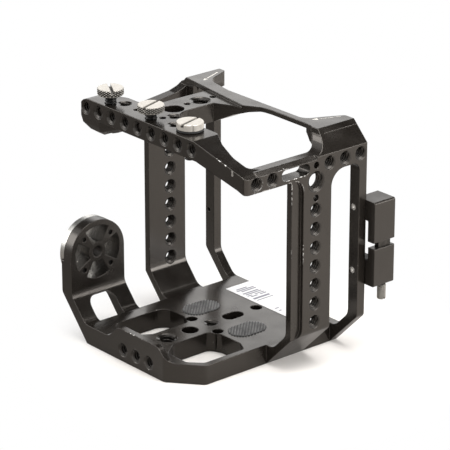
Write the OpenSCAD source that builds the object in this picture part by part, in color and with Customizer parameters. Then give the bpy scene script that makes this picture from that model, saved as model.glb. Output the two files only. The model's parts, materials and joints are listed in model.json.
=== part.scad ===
// Camera cage: a one-piece machined frame that a cinema camera body stands in, with three
// captive thumb screws on top, a toothed rosette at the lower front and a plug clamp at the back.
// Origin: the mouth of the base's middle tripod thread, in the floor plane. +Y points to the back.

/* [Frame] */
// Width over the two side walls
cage_w = 109.2; // [100:0.1:130]
// Height of the front bar's top face above the floor
bar_top_z = 111.8; // [105:0.1:130]
// Height of the back bar's top face above that of the front bar
back_rise = 1.3; // [0.5:0.1:3]
// Thickness of the side walls
wall_t = 5.1; // [4:0.1:7]
// Radius of the machined inner corners
corner_r = 6; // [2:0.5:8]

/* [Base] */
// Width of the flat underside
base_w = 72.2; // [68:0.1:80]
// Thickness of the base plate
base_t = 9.5; // [7.5:0.1:12]
// Front face of the base, ahead of the middle tripod thread
base_front = 46.2; // [44:0.1:52]
// Back face of the base and posts, behind the middle tripod thread
base_back = 47.3; // [46:0.1:52]
// Height of the rim along the front edge
rim_h = 6.7; // [3:0.1:10]
// Thickness of the rim along the front edge
rim_t = 3.2; // [2:0.1:4]
// Chamfer across the base's right front corner, along the front face
nose_x = 15; // [5:0.5:18]
// Chamfer across the base's right front corner, along the side
nose_y = 12.6; // [5:0.5:18]

/* [Front bar] */
// Height of the front bar
bar_h = 9.2; // [8.5:0.1:12]
// Depth of the front bar
bar_d = 15.4; // [13:0.1:20]
// Front face of the bar, ahead of the middle tripod thread
bar_front = 26.4; // [24:0.1:32]
// Number of threaded holes in the bar's front face
bar_holes = 9; // [3:1:9]
// Distance between the bar's threaded holes
bar_pitch = 9.67; // [9.2:0.01:10]

/* [Walls] */
// Height of the side rails
rail_h = 9; // [8.5:0.1:10]
// Drop of the rails' top below the front bar's top face
rail_drop = 7.4; // [5:0.1:9]
// Width of the right rail
rail_w = 7.1; // [6:0.1:9]
// Front edge of the side columns, behind the middle tripod thread
col_y = 3; // [2:0.1:5]
// Width of the side columns
col_w = 22.4; // [20:0.1:26]
// Width of the recessed band along each column's front edge
band_w = 5.6; // [3:0.1:7]
// Depth of that band
band_d = 1.8; // [0.5:0.1:2.5]
// Thickness of the back posts, front to back
post_d = 4.5; // [4.5:0.1:7]
// Width of the back posts
post_w = 6.2; // [5.2:0.1:8]
// Distance between the columns' threaded holes
col_pitch = 9.2; // [9.1:0.1:10]
// Number of threaded holes in each column
col_holes = 7; // [2:1:7]

/* [Threads] */
// Wall diameter of a 1/4 inch thread
quarter_d = 5.3; // [5:0.05:5.5]
// Mouth diameter of a 1/4 inch thread's countersink
quarter_mouth_d = 6.9; // [6.4:0.1:7.6]
// Wall diameter of a 3/8 inch thread
three_eighth_d = 8.2; // [7.8:0.05:8.6]
// Mouth diameter of a 3/8 inch thread's countersink
three_eighth_mouth_d = 10.2; // [9.6:0.1:10.6]
// Diameter of the locating holes beside a 3/8 inch thread
locating_d = 3.2; // [2.5:0.1:3.6]
// Distance between two locating holes
locating_gap = 15.8; // [15:0.1:17]

/* [Rosette] */
// Diameter of the toothed rosette
rosette_d = 31.4; // [28:0.1:34]
// Thickness of the toothed rosette
rosette_t = 3.7; // [3:0.1:4]
// Number of teeth round the rosette
rosette_teeth = 60; // [36:1:60]
// Height of a tooth
tooth_h = 0.6; // [0.4:0.1:1]
// Height of the rosette's centre above the floor
rosette_z = 39.2; // [36:0.1:46]
// Thickness of the wall that carries the rosette
arm_t = 7.3; // [6.5:0.1:9]
// Pitch circle of the rosette's four screws
rosette_pcd = 22; // [20:0.1:23]

/* [Thumb screws] */
// Diameter of a thumb screw's head
head_d = 12.6; // [10:0.1:14]
// Thickness of a thumb screw's head
head_h = 3.2; // [2.6:0.1:5]
// Diameter of a thumb screw's 1/4 inch shank, at the middle of its thread
shank_d = 5.6; // [5:0.1:6]
// Width of the driving slot
slot_w = 1.6; // [1:0.1:2]
// Depth of the driving slot
slot_h = 1.5; // [0.8:0.1:2]
// Height of the left thumb screw's head above the bar as it stands
raised_left = 4.4; // [1:0.1:4.4]
// Height of the middle thumb screw's head above the bar as it stands
raised_middle = 3.6; // [1:0.1:4.4]
// Height of the right thumb screw's head above the bar as it stands
raised_right = 1.1; // [1:0.1:4.4]
// Shank below the bar when a head is screwed right down
reach = 5.9; // [4.8:0.1:7]
// Diameter of the washers under the left and middle heads
washer_d = 9; // [8:0.1:12]
// Thickness of the washers
washer_t = 0.7; // [0.5:0.1:0.9]

/* [Plug clamp] */
// Width of the clamp, across the cage
clamp_w = 12.3; // [11:0.1:16]
// Depth of the clamp, front to back
clamp_d = 12.8; // [10:0.1:14]
// Height of the clamp's top face above the floor
clamp_top_z = 75.7; // [70:0.1:80]
// Height of the upper jaw
jaw_h = 20; // [17:0.1:22]
// Height of the lower jaw
jaw_low_h = 18.9; // [16:0.1:20]
// Gap between the two jaws as they stand
jaw_gap = 3; // [2.8:0.1:4]
// Thickness of the jaws' outer wall, which the screw runs through
jaw_wall = 4.4; // [4.4:0.1:5.4]
// Height of the upper jaw's arm
arm_up_h = 9.6; // [8:0.1:11]
// Height of the lower jaw's arm
arm_low_h = 11.9; // [9:0.1:13]
// Diameter of the clamp screw's knurled head
knob_d = 4.2; // [3.6:0.1:5]
// Length of the clamp screw's knurled head
knob_h = 7.4; // [5:0.1:10]
// Diameter of the clamp screw's thread
clamp_thread_d = 1.6; // [1.4:0.1:1.8]

/* [Pads] */
// Width of a rubber pad
pad_w = 12.4; // [10:0.1:15]
// Length of a rubber pad, front to back
pad_l = 19.4; // [16:0.1:22]
// Distance between the two pads' centres
pad_gap = 33.6; // [28:0.1:36]
// Height of the pads above the base
pad_proud = 0.5; // [0.2:0.1:1]

/* [Hidden] */
// Smoothness of bores and other round faces
round_fn = 48;
// Smoothness of large round outlines
outline_fn = 96;
// Segments in one rounded corner of an outline
corner_fn = 6;
// Overrun of every cut
over = 1;
// Radial clearance of a shank that turns in a bore
run_fit = 0.05;
// Gap between a seated piece and its seat, where they don't touch
seat_gap = 0.3;

// Walls and heights that follow from the sizes above
wall_out = cage_w / 2;
wall_in = wall_out - wall_t;
base_x = base_w / 2;
slope = wall_out - base_x;
back_top_z = bar_top_z + back_rise;
rail_top_z = bar_top_z - rail_drop;
rail_z = rail_top_z - rail_h;
rail_mid_z = rail_z + rail_h / 2 - rail_h * 0.03;
col_end_y = col_y + col_w;
rib_y = col_y + band_w;
post_y = base_back - post_d;
// Rear edge of the back bar
back_step = 17.8;
back_rear = base_back - back_step;
// The top's outlines are given in units of this share of the cage's width, and stretch with it
unit_share = 1 / 109.2;
function across(x) = x * cage_w * unit_share;

// A rounded outline: each corner is [x, y, radius]
function unit(v) = v / norm(v);
function corner_arc(a, b, c) =
    let (p = [b.x, b.y], u = unit([a.x, a.y] - p), v = unit([c.x, c.y] - p), r = b[2],
         half = acos(max(-1, min(1, u * v))) / 2)
    r <= 0 || half > 89.5 ? [p] :
    let (d = r / tan(half), centre = p + unit(u + v) * r / sin(half),
         s = p + u * d - centre, e = p + v * d - centre,
         turn = (180 - 2 * half) * sign(s.x * e.y - s.y * e.x))
    [for (i = [0:corner_fn]) let (t = turn * i / corner_fn)
        centre + [s.x * cos(t) - s.y * sin(t), s.x * sin(t) + s.y * cos(t)]];
function rounded(pts) =
    let (n = len(pts))
    [for (i = [0:n - 1]) each corner_arc(pts[(i + n - 1) % n], pts[i], pts[(i + 1) % n])];

// An (x, z) outline carried along Y, and a (y, z) outline carried along X
module along_y(y0, y1) {
    translate([0, y1, 0]) rotate([90, 0, 0]) linear_extrude(y1 - y0) children();
}
module along_x(x0, x1) {
    translate([x0, 0, 0]) rotate([90, 0, 90]) linear_extrude(x1 - x0) children();
}
module block(low, high) {
    translate(low) cube(high - low);
}

// A threaded hole's wall with a countersunk mouth; it goes in along -Z from its mouth at z = 0
module threaded(d, mouth_d, depth) {
    translate([0, 0, -depth]) cylinder(d = d, h = depth + over, $fn = round_fn);
    translate([0, 0, -(mouth_d - d) / 2])
        cylinder(d1 = d, d2 = mouth_d, h = (mouth_d - d) / 2, $fn = round_fn);
    cylinder(d = mouth_d, h = over, $fn = round_fn);
}
module quarter(depth) {
    threaded(quarter_d, quarter_mouth_d, depth);
}
module three_eighth(depth) {
    threaded(three_eighth_d, three_eighth_mouth_d, depth);
}
// Cuts into the right wall's outer face, the left wall's inner face and the front faces
module into_right(y, z) {
    translate([wall_out, y, z]) rotate([0, 90, 0]) children();
}
module into_left(y, z) {
    translate([-wall_in, y, z]) rotate([0, 90, 0]) children();
}
module into_front(x, y, z) {
    translate([x, y, z]) rotate([90, 0, 0]) children();
}

// Base plate
// Left and right edges of the two windows in front of the camera's place
window_in = 7.6;
window_out_r = 33;
window_out_l = 28.5;
window_front = base_front - 8.6;
window_back = 5;
// Countersunk round holes along the middle of the base, front to back
middle_front_y = -26.9;
middle_clear_y = -13;
middle_clear_d = 8;
middle_slot_y = 13.5;
middle_slot_d = 7;
middle_slot_travel = 4.4;
middle_back_y = 28.2;
middle_back_d = 5.7;
side_hole_x = 9.5;
side_hole_y = -4;
side_hole_d = 5.4;
// Height and pitch of the three threaded holes in the base's front face
front_hole_z = 5.8;
front_hole_pitch = 9.45;
front_hole_x = 0.6;
front_hole_depth = 7.2;

module base_outline() {
    polygon(rounded([
        [-base_x, -base_front, 0], [base_x - nose_x, -base_front, corner_r / 2],
        [base_x, -base_front + nose_y, corner_r / 2], [base_x, base_back, 0],
        [-base_x, base_back, 0]]));
}
module right_window_outline() {
    polygon(rounded([
        [window_in, -window_back - corner_r / 2, corner_r / 2],
        [window_in + corner_r, -window_back, corner_r / 2],
        [window_out_r - corner_r, -window_back, corner_r / 2],
        [window_out_r, -window_back - corner_r / 2, corner_r / 3],
        [window_out_r, -window_front + corner_r, corner_r / 2],
        [window_out_r - corner_r, -window_front, corner_r / 2],
        [window_in + corner_r, -window_front, corner_r / 2],
        [window_in, -window_front + corner_r * 1.4, corner_r / 2]]));
}
module left_window_outline() {
    polygon(rounded([
        [-window_in, -window_back - corner_r / 2, corner_r / 2],
        [-window_in - corner_r, -window_back, corner_r / 2],
        [-window_out_l, -window_back, corner_r],
        [-window_out_l, -window_front, corner_r],
        [-window_in - corner_r, -window_front, corner_r / 2],
        [-window_in, -window_front + corner_r * 1.4, corner_r / 2]]));
}
// Rim along the front edge: raised in the middle, dipping in an S at each side
rim_top_w = 29;
rim_foot_w = 49;
rim_x = 2.2;
module rim() {
    intersection() {
        along_y(-base_front, -base_front + rim_t)
            polygon(rounded([
                [rim_x - rim_foot_w / 2, base_t / 2, 0], [rim_x + rim_foot_w / 2, base_t / 2, 0],
                [rim_x + rim_foot_w / 2, base_t, corner_r / 3],
                [rim_x + rim_foot_w / 2 - corner_r / 2, base_t, corner_r],
                [rim_x + rim_top_w / 2, base_t + rim_h, corner_r],
                [rim_x - rim_top_w / 2, base_t + rim_h, corner_r],
                [rim_x - rim_foot_w / 2 + corner_r / 2, base_t, corner_r],
                [rim_x - rim_foot_w / 2, base_t, corner_r / 3]]));
        linear_extrude(base_t + rim_h + over) base_outline();
    }
}
module base_plate() {
    difference() {
        union() {
            linear_extrude(base_t) base_outline();
            rim();
        }
        translate([0, 0, base_t]) {
            quarter(base_t + over);
            translate([0, middle_front_y, 0]) three_eighth(base_t + over);
            translate([0, middle_clear_y, 0]) round_hole(middle_clear_d);
            translate([0, middle_back_y, 0]) round_hole(middle_back_d);
            for (side = [-1, 1]) translate([side * side_hole_x, side_hole_y, 0]) round_hole(side_hole_d);
            for (end = [-1, 1]) translate([0, middle_slot_y + end * middle_slot_travel / 2, 0])
                round_hole(middle_slot_d);
            translate([-middle_slot_d / 2, middle_slot_y - middle_slot_travel / 2, -base_t - over])
                cube([middle_slot_d, middle_slot_travel, base_t + 2 * over]);
        }
        for (i = [-1:1]) into_front(front_hole_x + i * front_hole_pitch, -base_front, front_hole_z)
            quarter(front_hole_depth);
    }
}
module round_hole(d) {
    translate([0, 0, -base_t - over]) cylinder(d = d, h = base_t + 2 * over, $fn = round_fn);
}

// Rubber pads in the base
pad_y = 8;
pad_sunk = 1.2;
rib_count = 13;
rib_h = 0.4;
// The ribs run across the pads at this angle
rib_turn = 45;
module pad_outline(grow) {
    straight = pad_l - pad_w;
    for (end = [-1, 1]) translate([0, end * straight / 2]) circle(d = pad_w + 2 * grow, $fn = round_fn);
    translate([-pad_w / 2 - grow, -straight / 2]) square([pad_w + 2 * grow, straight]);
}
module base_pad(side) {
    rib_pitch = (pad_w + (pad_l - pad_w) * sin(rib_turn)) / rib_count;
    color("dimgray") translate([side * pad_gap / 2, pad_y, base_t - pad_sunk]) {
        linear_extrude(pad_sunk + pad_proud - rib_h) pad_outline(0);
        intersection() {
            linear_extrude(pad_sunk + pad_proud) pad_outline(0);
            rotate(rib_turn) for (i = [0:rib_count - 1])
                translate([(i - (rib_count - 1) / 2) * rib_pitch - rib_pitch / 4, -pad_l / 2, 0])
                    cube([rib_pitch / 2, pad_l, pad_sunk + pad_proud]);
        }
    }
}

// Side walls: a wall rises from the base through a slope that is thinner than the wall
rise_left = 20.8;
slope_share = 0.95;
module wall_section(t, top_z, rise) {
    inner = t * slope_share;
    grade = rise / slope;
    polygon(rounded([
        [base_x - slope, 0, 0], [base_x, 0, 0], [wall_out, rise, corner_r / 2],
        [wall_out, top_z, 0], [wall_out - t, top_z, 0],
        [wall_out - t, (slope - t + inner) * grade, corner_r],
        [base_x - inner + base_t / grade, base_t, corner_r],
        [base_x - slope, base_t, 0]]));
}
function side_rise(side) = side < 0 ? rise_left : slope;
// The recess along a column's front edge, as a (y, z) outline
band_low_z = 15.7;
module band_outline() {
    polygon(rounded([
        [col_y - 2 * over, band_low_z - corner_r / 2, 0], [col_y, band_low_z, 0],
        [rib_y, band_low_z + corner_r / 2, corner_r],
        [rib_y, rail_z, corner_r], [col_y - corner_r, rail_z, 0],
        [col_y - corner_r, band_low_z - corner_r / 2, 0]]));
}
// The round web that fills a corner between two walls: its sides run from the corner to dy and dz
module web(y, z, dy, dz) {
    translate([y, z]) scale([sign(dy), sign(dz)]) difference() {
        translate([-over, -over]) square(abs(dy) + over);
        translate([abs(dy), abs(dy)]) circle(r = abs(dy), $fn = round_fn);
        translate([abs(dy), -2 * over]) square(abs(dy) + 2 * over);
        translate([-2 * over, abs(dy)]) square(abs(dy) + 2 * over);
    }
}
module column(side) {
    mirror([side < 0 ? 1 : 0, 0, 0]) {
        difference() {
            union() {
                along_y(col_y, col_end_y) wall_section(wall_t, rail_z + rail_h / 2, side_rise(side));
                along_x(wall_in, wall_out) web(col_y, rail_z, -corner_r / 2, -corner_r / 2);
            }
            along_x(wall_out - band_d, wall_out + over) band_outline();
        }
        along_x(wall_in, wall_out) {
            web(col_end_y, rail_z, web_r, -web_r);
            web(post_y, rail_z, -web_r / 2, -web_r / 2);
        }
    }
}
// Radius of the web in the top corner of the window behind a column
web_r = 8;
module post(side) {
    mirror([side < 0 ? 1 : 0, 0, 0])
        along_y(post_y, base_back) wall_section(post_w, rail_z + rail_h / 2, side_rise(side));
}

// Rosette wall: the left wall's front part, on two arms with a window between them
rosette_y = -30.3;
rosette_wall_r = 15.9;
arm_window_y = 15;
arm_window_shift = 0.5;
module rosette_wall() {
    front = rosette_y - rosette_wall_r;
    difference() {
        intersection() {
            mirror([1, 0, 0]) along_y(front, front + 2 * rosette_wall_r)
                wall_section(arm_t, rosette_z + rosette_wall_r, rise_left);
            along_x(-wall_out - over, over) union() {
                translate([front, 0]) square([2 * rosette_wall_r, rosette_z]);
                translate([rosette_y, rosette_z]) circle(r = rosette_wall_r, $fn = outline_fn);
            }
        }
        along_x(-wall_out - over, -base_x + corner_r / 4)
            translate([rosette_y - arm_window_shift, 0]) polygon(rounded([
                [-arm_window_y / 2, -over, 0], [arm_window_y / 2, -over, 0],
                [arm_window_y / 2, slope, corner_r / 1.5], [-arm_window_y / 2, slope, corner_r / 1.5]]));
        rosette_seat();
        rosette_pockets();
        translate([-wall_out, rosette_y, rosette_z]) rotate([0, 90, 0])
            translate([0, 0, -over]) cylinder(d = rosette_bore, h = arm_t + 2 * over, $fn = round_fn);
        for (i = [0:3]) rosette_screw_place(i) translate([0, 0, -over])
            cylinder(d = rosette_screw_d, h = arm_t + 2 * over, $fn = round_fn);
    }
}
rosette_bore = 5.6;
rosette_screw_d = 2.4;
seat_d = 1.7;
module rosette_seat() {
    translate([-wall_out - over, rosette_y, rosette_z]) rotate([0, 90, 0])
        cylinder(d = rosette_d + 2 * seat_gap, h = over + seat_d, $fn = outline_fn);
}
// Four pockets that lighten the wall between its spokes
pocket_in_r = 5;
pocket_out_r = 13.2;
pocket_spread = 62;
module rosette_pockets() {
    translate([-wall_out - over, rosette_y, rosette_z]) rotate([90, 0, 90])
        linear_extrude(arm_t + 2 * over) for (i = [0:3]) rotate(90 * i)
            polygon(rounded(concat(
                [for (a = [0:corner_fn]) let (t = (a / corner_fn - 0.5) * pocket_spread)
                    [pocket_in_r * cos(t), pocket_in_r * sin(t), 0]],
                [for (a = [0:corner_fn]) let (t = (0.5 - a / corner_fn) * pocket_spread)
                    [pocket_out_r * cos(t), pocket_out_r * sin(t), 0]])));
}
module rosette_screw_place(i) {
    translate([-wall_out + seat_d, rosette_y, rosette_z]) rotate([0, 90, 0])
        rotate(45 + 90 * i) translate([rosette_pcd / 2, 0, 0]) children();
}
screw_head_d = 4;
screw_head_h = 1.2;
socket_share = 0.5;
module rosette() {
    face = seat_d - rosette_t;
    color("gainsboro") translate([-wall_out, rosette_y, rosette_z]) rotate([0, 90, 0]) difference() {
        union() {
            translate([0, 0, face + tooth_h]) {
                cylinder(d = rosette_d, h = rosette_t - tooth_h, $fn = outline_fn);
                teeth();
            }
        }
        translate([0, 0, -rosette_t - over])
            cylinder(d = rosette_hole_d, h = 2 * rosette_t + 2 * over, $fn = outline_fn);
        for (i = [0:3]) rotate(45 + 90 * i) translate([rosette_pcd / 2, 0, 0]) {
            translate([0, 0, -rosette_t - over])
                cylinder(d = rosette_screw_d + 2 * run_fit, h = 2 * rosette_t + 2 * over, $fn = round_fn);
            translate([0, 0, face - over]) cylinder(d = screw_head_d + 2 * seat_gap,
                h = over + tooth_h + screw_head_h, $fn = round_fn);
        }
    }
}
rosette_hole_d = 8.4;
tooth_in_r = 13.4;
tooth_out_r = 15.2;
// Ring of radial teeth with V grooves between them: the tips stand at z = -tooth_h
tooth_root = 0.01;
groove_share = 0.93;
module teeth() {
    groove_h = tooth_h - tooth_root;
    groove_w = 2 * PI * tooth_in_r / rosette_teeth * groove_share;
    difference() {
        translate([0, 0, -tooth_h]) cylinder(r = tooth_out_r, h = tooth_h + over / 2, $fn = outline_fn);
        translate([0, 0, -tooth_h - over])
            cylinder(r = tooth_in_r, h = tooth_h + 2 * over, $fn = outline_fn);
        for (i = [0:rosette_teeth - 1]) rotate(360 * i / rosette_teeth)
            along_x(tooth_in_r - over, tooth_out_r + over) polygon([
                [0, -tooth_root], [groove_w, -tooth_root - 2 * groove_h],
                [-groove_w, -tooth_root - 2 * groove_h]]);
    }
}
module rosette_screw(i) {
    head_z = tooth_h - rosette_t;
    shank_z = arm_t - seat_d - over;
    color("dimgray") rosette_screw_place(i) {
        difference() {
            union() {
                translate([0, 0, head_z]) cylinder(d = screw_head_d, h = screw_head_h, $fn = round_fn);
                translate([0, 0, head_z + screw_head_h / 2])
                    cylinder(d = rosette_screw_d, h = shank_z - head_z - screw_head_h / 2, $fn = round_fn);
            }
            translate([0, 0, head_z - over])
                cylinder(d = screw_head_d * socket_share, h = over + screw_head_h * socket_share, $fn = 6);
        }
    }
}

// Top: front bar, bridge, back bar and the horns over the back posts
bar_left = across(64.7);
bar_right = across(19.1);
bar_back = bar_front - bar_d;
// The bar's left end, as [x, y] from its front corner back to the wall
bar_end_mid = [across(-62), 7.4 - bar_front];
bar_end_back = [across(-53), 12.9 - bar_front];
bar_end_in = across(-46.7);
bar_end_r = 7;
bridge_left = across(31.5);
bridge_right = across(15.6);
bridge_r = 10;
module bar_outline() {
    polygon(rounded([
        [-bar_left, -bar_front, corner_r / 4], [shoulder_x, -bar_front, 0], [shoulder_x, -bar_back, 0],
        [-bridge_right, -bar_back, bridge_r], [-bridge_right, back_rear, 0],
        [-bridge_left, back_rear, 0], [-bridge_left, -bar_back, corner_r],
        [bar_end_in, -bar_back, corner_r / 2], [bar_end_back.x, bar_end_back.y, corner_r],
        [bar_end_mid.x, bar_end_mid.y, corner_r / 2]]));
}
// The bridge flares into the back bar. Its front edge is given as [x, y ahead of the back bar's rear
// edge], and the underside as [x, depth below the front bar's top face]
flare_edge = [[-15.6, 14.8], [-8, 10.9], [-1.5, 8.9], [7, 3.5]];
flare_under = [[-15.6, 9.2], [-6, 4.3], [1, 1.9], [7, 0.9]];
flare = [for (p = flare_edge) [across(p.x), back_rear - p.y]];
module bridge_flare() {
    first = flare[0];
    last = flare[len(flare) - 1];
    intersection() {
        translate([0, 0, bar_top_z - bar_h]) linear_extrude(bar_h)
            polygon(concat(
                flare, [[last.x, back_rear], [first.x - over, back_rear], [first.x - over, first.y]]));
        along_y(first.y - over, back_rear) polygon(concat(
            [for (p = flare_under) [across(p.x), bar_top_z - p.y * bar_h / flare_under[0].y]],
            [[last.x, bar_top_z], [first.x - over, bar_top_z], [first.x - over, bar_top_z - bar_h]]));
    }
}
back_t = 2.2;
// Front edge of the back bar and the horns, from left to right, as [x, y ahead of the bar's rear edge,
// radius share], and their rear edge from right to left
back_front_edge = [[-49.6, 3, 0], [-12.6, 7.7, 1], [-1, 9.1, 0.5], [7.2, 4, 1.5], [13, 3.4, 1], [36, 3.6, 1],
                   [44.6, 4.7, 0]];
back_rear_edge = [[39.6, -18.5, 0.3], [35, -9, 1], [31, 0, 1], [-22, 0, 1], [-39.3, -3.1, 1.5],
                  [-45.2, -18.5, 0.3]];
horn_front_y = back_rear - back_front_edge[0].y;
chamfer_top = 9.2;
chamfer_left = 5;
module back_outline() {
    polygon(rounded(concat(
        [for (p = back_front_edge) [across(p.x), back_rear - p.y, p[2] * corner_r]],
        [[wall_out, horn_front_y, 0], [wall_out, base_back, 0]],
        [for (p = back_rear_edge) [across(p.x), min(back_rear - p.y, base_back), p[2] * corner_r]],
        [[-wall_out, base_back, 0], [-wall_out, horn_front_y, 0]])));
}
module top_frame() {
    // Front bar and bridge
    intersection() {
        translate([0, 0, bar_top_z - bar_h]) linear_extrude(bar_h) bar_outline();
        along_y(-bar_front - over, back_rear + over) polygon(rounded([
            [-bar_left, bar_top_z - bar_h, corner_r / 3], [bar_right + over, bar_top_z - bar_h, 0],
            [bar_right + over, bar_top_z, 0], [-bar_left, bar_top_z, bar_end_r]]));
    }
    // Back bar and horns, with their 45 degree outer edges
    intersection() {
        translate([0, 0, back_top_z - back_t]) linear_extrude(back_t) back_outline();
        top_edges();
    }
    for (side = [-1, 1]) intersection() {
        translate([0, 0, rail_z]) linear_extrude(back_top_z - rail_z) horn_outline(side);
        top_edges();
    }
    // Hollow web from the left horn's inner face out to its tip
    intersection() {
        mirror([1, 0, 0]) along_y(back_rear, base_back)
            web(wall_out - rail_w - horn_deep, back_top_z - back_t, -horn_web_r, -horn_web_r);
        linear_extrude(back_top_z) back_outline();
    }
    bridge_flare();
    horn_front(-wall_out, -wall_in, sweep_left);
    intersection() {
        union() {
            horn_front(wall_out - rail_w, wall_out, sweep_right);
            intersection() {
                horn_front(web_high[0].x, wall_out, sweep_right);
                translate([0, 0, rail_z]) linear_extrude(back_top_z)
                    web(wall_out - rail_w, web_back_y, -web_plan_r, -web_plan_r);
                along_y(0, base_back)
                    polygon(concat(web_high, [[wall_out, rail_z], [wall_out, back_top_z]]));
            }
        }
        top_edges();
    }
}
// Round gusset between the right rail and the back bar. Its rising underside is given as
// [x, depth below the back bar's top face]
web_plan_r = 11;
web_step = 3.5;
web_back_y = back_rear - web_step;
web_under = [[33, 0], [33, 2.2], [36.5, 4.1], [39.1, 7.6], [43.5, 8.9], [47.5, 9.3]];
web_high = [for (p = web_under) [across(p.x), back_top_z - p.y]];
// Ends of the strap slots in the rails
strap_y = [-4.8, 12.2];
// The horns rise from the rails in a hollow sweep, given as [y, z above the rail]
sweep_left = [[0, 0], [8.6, 1], [19.8, 2.3], [24.8, 3.8], [28, 5.6]];
sweep_right_r = [8.3, 8.7];
sweep_gap = 4.3;
sweep_fn = 12;
sweep_right = [for (i = [0:sweep_fn]) let (t = 90 * i / sweep_fn)
    [strap_y[1] + sweep_gap + sweep_right_r[0] * sin(t), sweep_right_r[1] * (1 - cos(t))]];
module horn_front(x0, x1, sweep) {
    last = sweep[len(sweep) - 1];
    along_x(x0, x1) polygon(concat(
        [for (p = sweep) [p.x, rail_top_z + p.y]],
        [[post_y, rail_top_z + last.y], [post_y, rail_z + over], [sweep[0].x, rail_z + over]]));
}
horn_deep = 3;
horn_web_r = 5;
module horn_outline(side) {
    in = side < 0 ? wall_out - rail_w - horn_deep : wall_out - rail_w;
    front_y = side < 0 ? horn_front_y : back_rear - back_front_edge[len(back_front_edge) - 1].y;
    mirror([side < 0 ? 1 : 0, 0, 0])
        polygon([[wall_out, front_y], [wall_out, base_back], [wall_out - rail_w, base_back],
                 [wall_out - rail_w, post_y], [in, post_y], [in, front_y]]);
}
module top_edges() {
    along_y(0, base_back) polygon([
        [-wall_out, 0], [wall_out, 0], [wall_out, back_top_z - chamfer_top],
        [wall_out - chamfer_top, back_top_z], [-wall_out + chamfer_left, back_top_z],
        [-wall_out, back_top_z - chamfer_left]]);
}
rail_edge = 1.6;
rail_edge_share = 1.5;
// Front ends of the two rails
rail_front = bar_front - 7.4;
module rails() {
    // Right rail with its outer chamfer
    along_y(-rail_front, base_back) polygon([
        [wall_out - rail_w, rail_z], [wall_out, rail_z], [wall_out, rail_top_z - rail_edge],
        [wall_out - rail_edge * rail_edge_share, rail_top_z], [wall_out - rail_w, rail_top_z]]);
    // Left rail
    along_y(-rail_front, base_back) polygon([
        [-wall_out, rail_z], [-wall_in, rail_z], [-wall_in, rail_top_z], [-wall_out, rail_top_z]]);
}
// Right front shoulder: the bar runs down to the right rail
shoulder_foot = 5.4;
shoulder_start = 1.8;
// Back edge of the shoulder, as [x, y behind the bar's front face, radius share]
shoulder_edge = [[38, 7.4, 3], [27, 10.4, 2], [17.5, 15.4, 1]];
shoulder_x = across(shoulder_edge[2].x);
// Length of the rail's front end that is cut across the corner
rail_turn = 7;
module shoulder() {
    low_z = bar_top_z - bar_h;
    start_x = shoulder_x - over;
    intersection() {
        along_y(-bar_front, 0) polygon(rounded([
            [start_x, bar_top_z, 0], [bar_right, bar_top_z, corner_r / 3],
            [wall_out - rail_edge * rail_edge_share, rail_top_z - seat_gap, 0],
            [wall_out, rail_top_z - rail_edge, 0], [wall_out, rail_z, 0],
            [wall_out - shoulder_foot, rail_z + rail_edge, corner_r / 3],
            [bar_right + shoulder_start, low_z, corner_r], [start_x, low_z, 0]]));
        linear_extrude(bar_top_z + over) polygon(rounded(concat(
            [[start_x, -bar_front, 0], [wall_out - shoulder_start / 2, -bar_front, corner_r / 6],
             [wall_out, -bar_front + shoulder_start, corner_r / 2], [wall_out, rail_turn - rail_front, 0],
             [wall_out - rail_edge * rail_edge_share, rail_turn - rail_front, 0],
             [wall_out - rail_w, -rail_front, corner_r / 2]],
            [for (p = shoulder_edge) [across(p.x), p.y - bar_front, p[2] * corner_r]],
            [[start_x, -bar_back, 0]])));
    }
    // Left end: the rail's front end swells out to the bar's end
    hull() for (b = bar_lobe) translate([0, -bar_front, bar_top_z])
        block([across(b[0].x), b[0].y, -b[0].z], [across(b[1].x), b[1].y, lobe_in - b[0].z]);
    block([-wall_out, -rail_front, rail_z], [-wall_in, rail_edge - rail_front, rail_top_z]);
}
// Blocks whose hull swells out under the bar's left end. Each is [low corner, far edge], with y behind
// the bar's front face and z below its top face
bar_lobe = [[[-64, 0.6, 9.4], [-50, 2.4]], [[-62, 0.2, 12.2], [-50, 2.9]], [[-57.5, 1.2, 14.8], [-50, 5.4]],
            [[-54.6, 3.4, 16.4], [-50, 14.4]], [[-45, 3.9, 12.8], [-40, 13.4]],
            [[-42, 2.4, 9.8], [-37, 14.4]]];
lobe_in = 2.4;
lobe_h = 8;

// Holes along the rails and columns, as [y, z]
rail_hole_front = [6.9 - bar_front, 16.4 - bar_front];
rail_hole_back = [base_back - 23, base_back - 13.5, base_back - 4];
strap_h = 5.4;
col_mid_y = 16.1;
col_first_z = rail_z - 16.6;
col_big_z = rail_z - 3;
module side_holes() {
    depth = wall_t + over;
    into_right(0, 0) {
        for (y = concat(rail_hole_front, rail_hole_back))
            translate([-rail_mid_z, y, 0]) quarter(rail_w + over);
        for (i = [0:col_holes - 1]) translate([-(col_first_z - i * col_pitch), col_mid_y, 0]) quarter(depth);
        translate([-col_big_z, col_mid_y, 0]) three_eighth(depth + rail_w);
        for (end = [-1, 1]) translate([-col_big_z + end * locating_gap / 2, col_mid_y, -depth - rail_w])
            cylinder(d = locating_d, h = depth + rail_w + over, $fn = round_fn);
    }
    into_left(0, 0) {
        for (i = [0:col_holes - 1]) translate([-(col_first_z - i * col_pitch), col_mid_y, 0]) quarter(depth);
        translate([-col_big_z, col_mid_y, 0]) three_eighth(depth + rail_w);
        for (y = rail_hole_front) translate([-rail_mid_z, y, 0]) quarter(depth);
    }
    // Strap slots
    for (x = [-wall_out, wall_out - rail_w]) along_x(x - over, x + rail_w + over) {
        for (y = strap_y + [strap_h / 2, -strap_h / 2])
            translate([y, rail_mid_z]) circle(d = strap_h, $fn = round_fn);
        translate([strap_y[0] + strap_h / 2, rail_mid_z - strap_h / 2])
            square([strap_y[1] - strap_y[0] - strap_h, strap_h]);
    }
}

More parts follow.
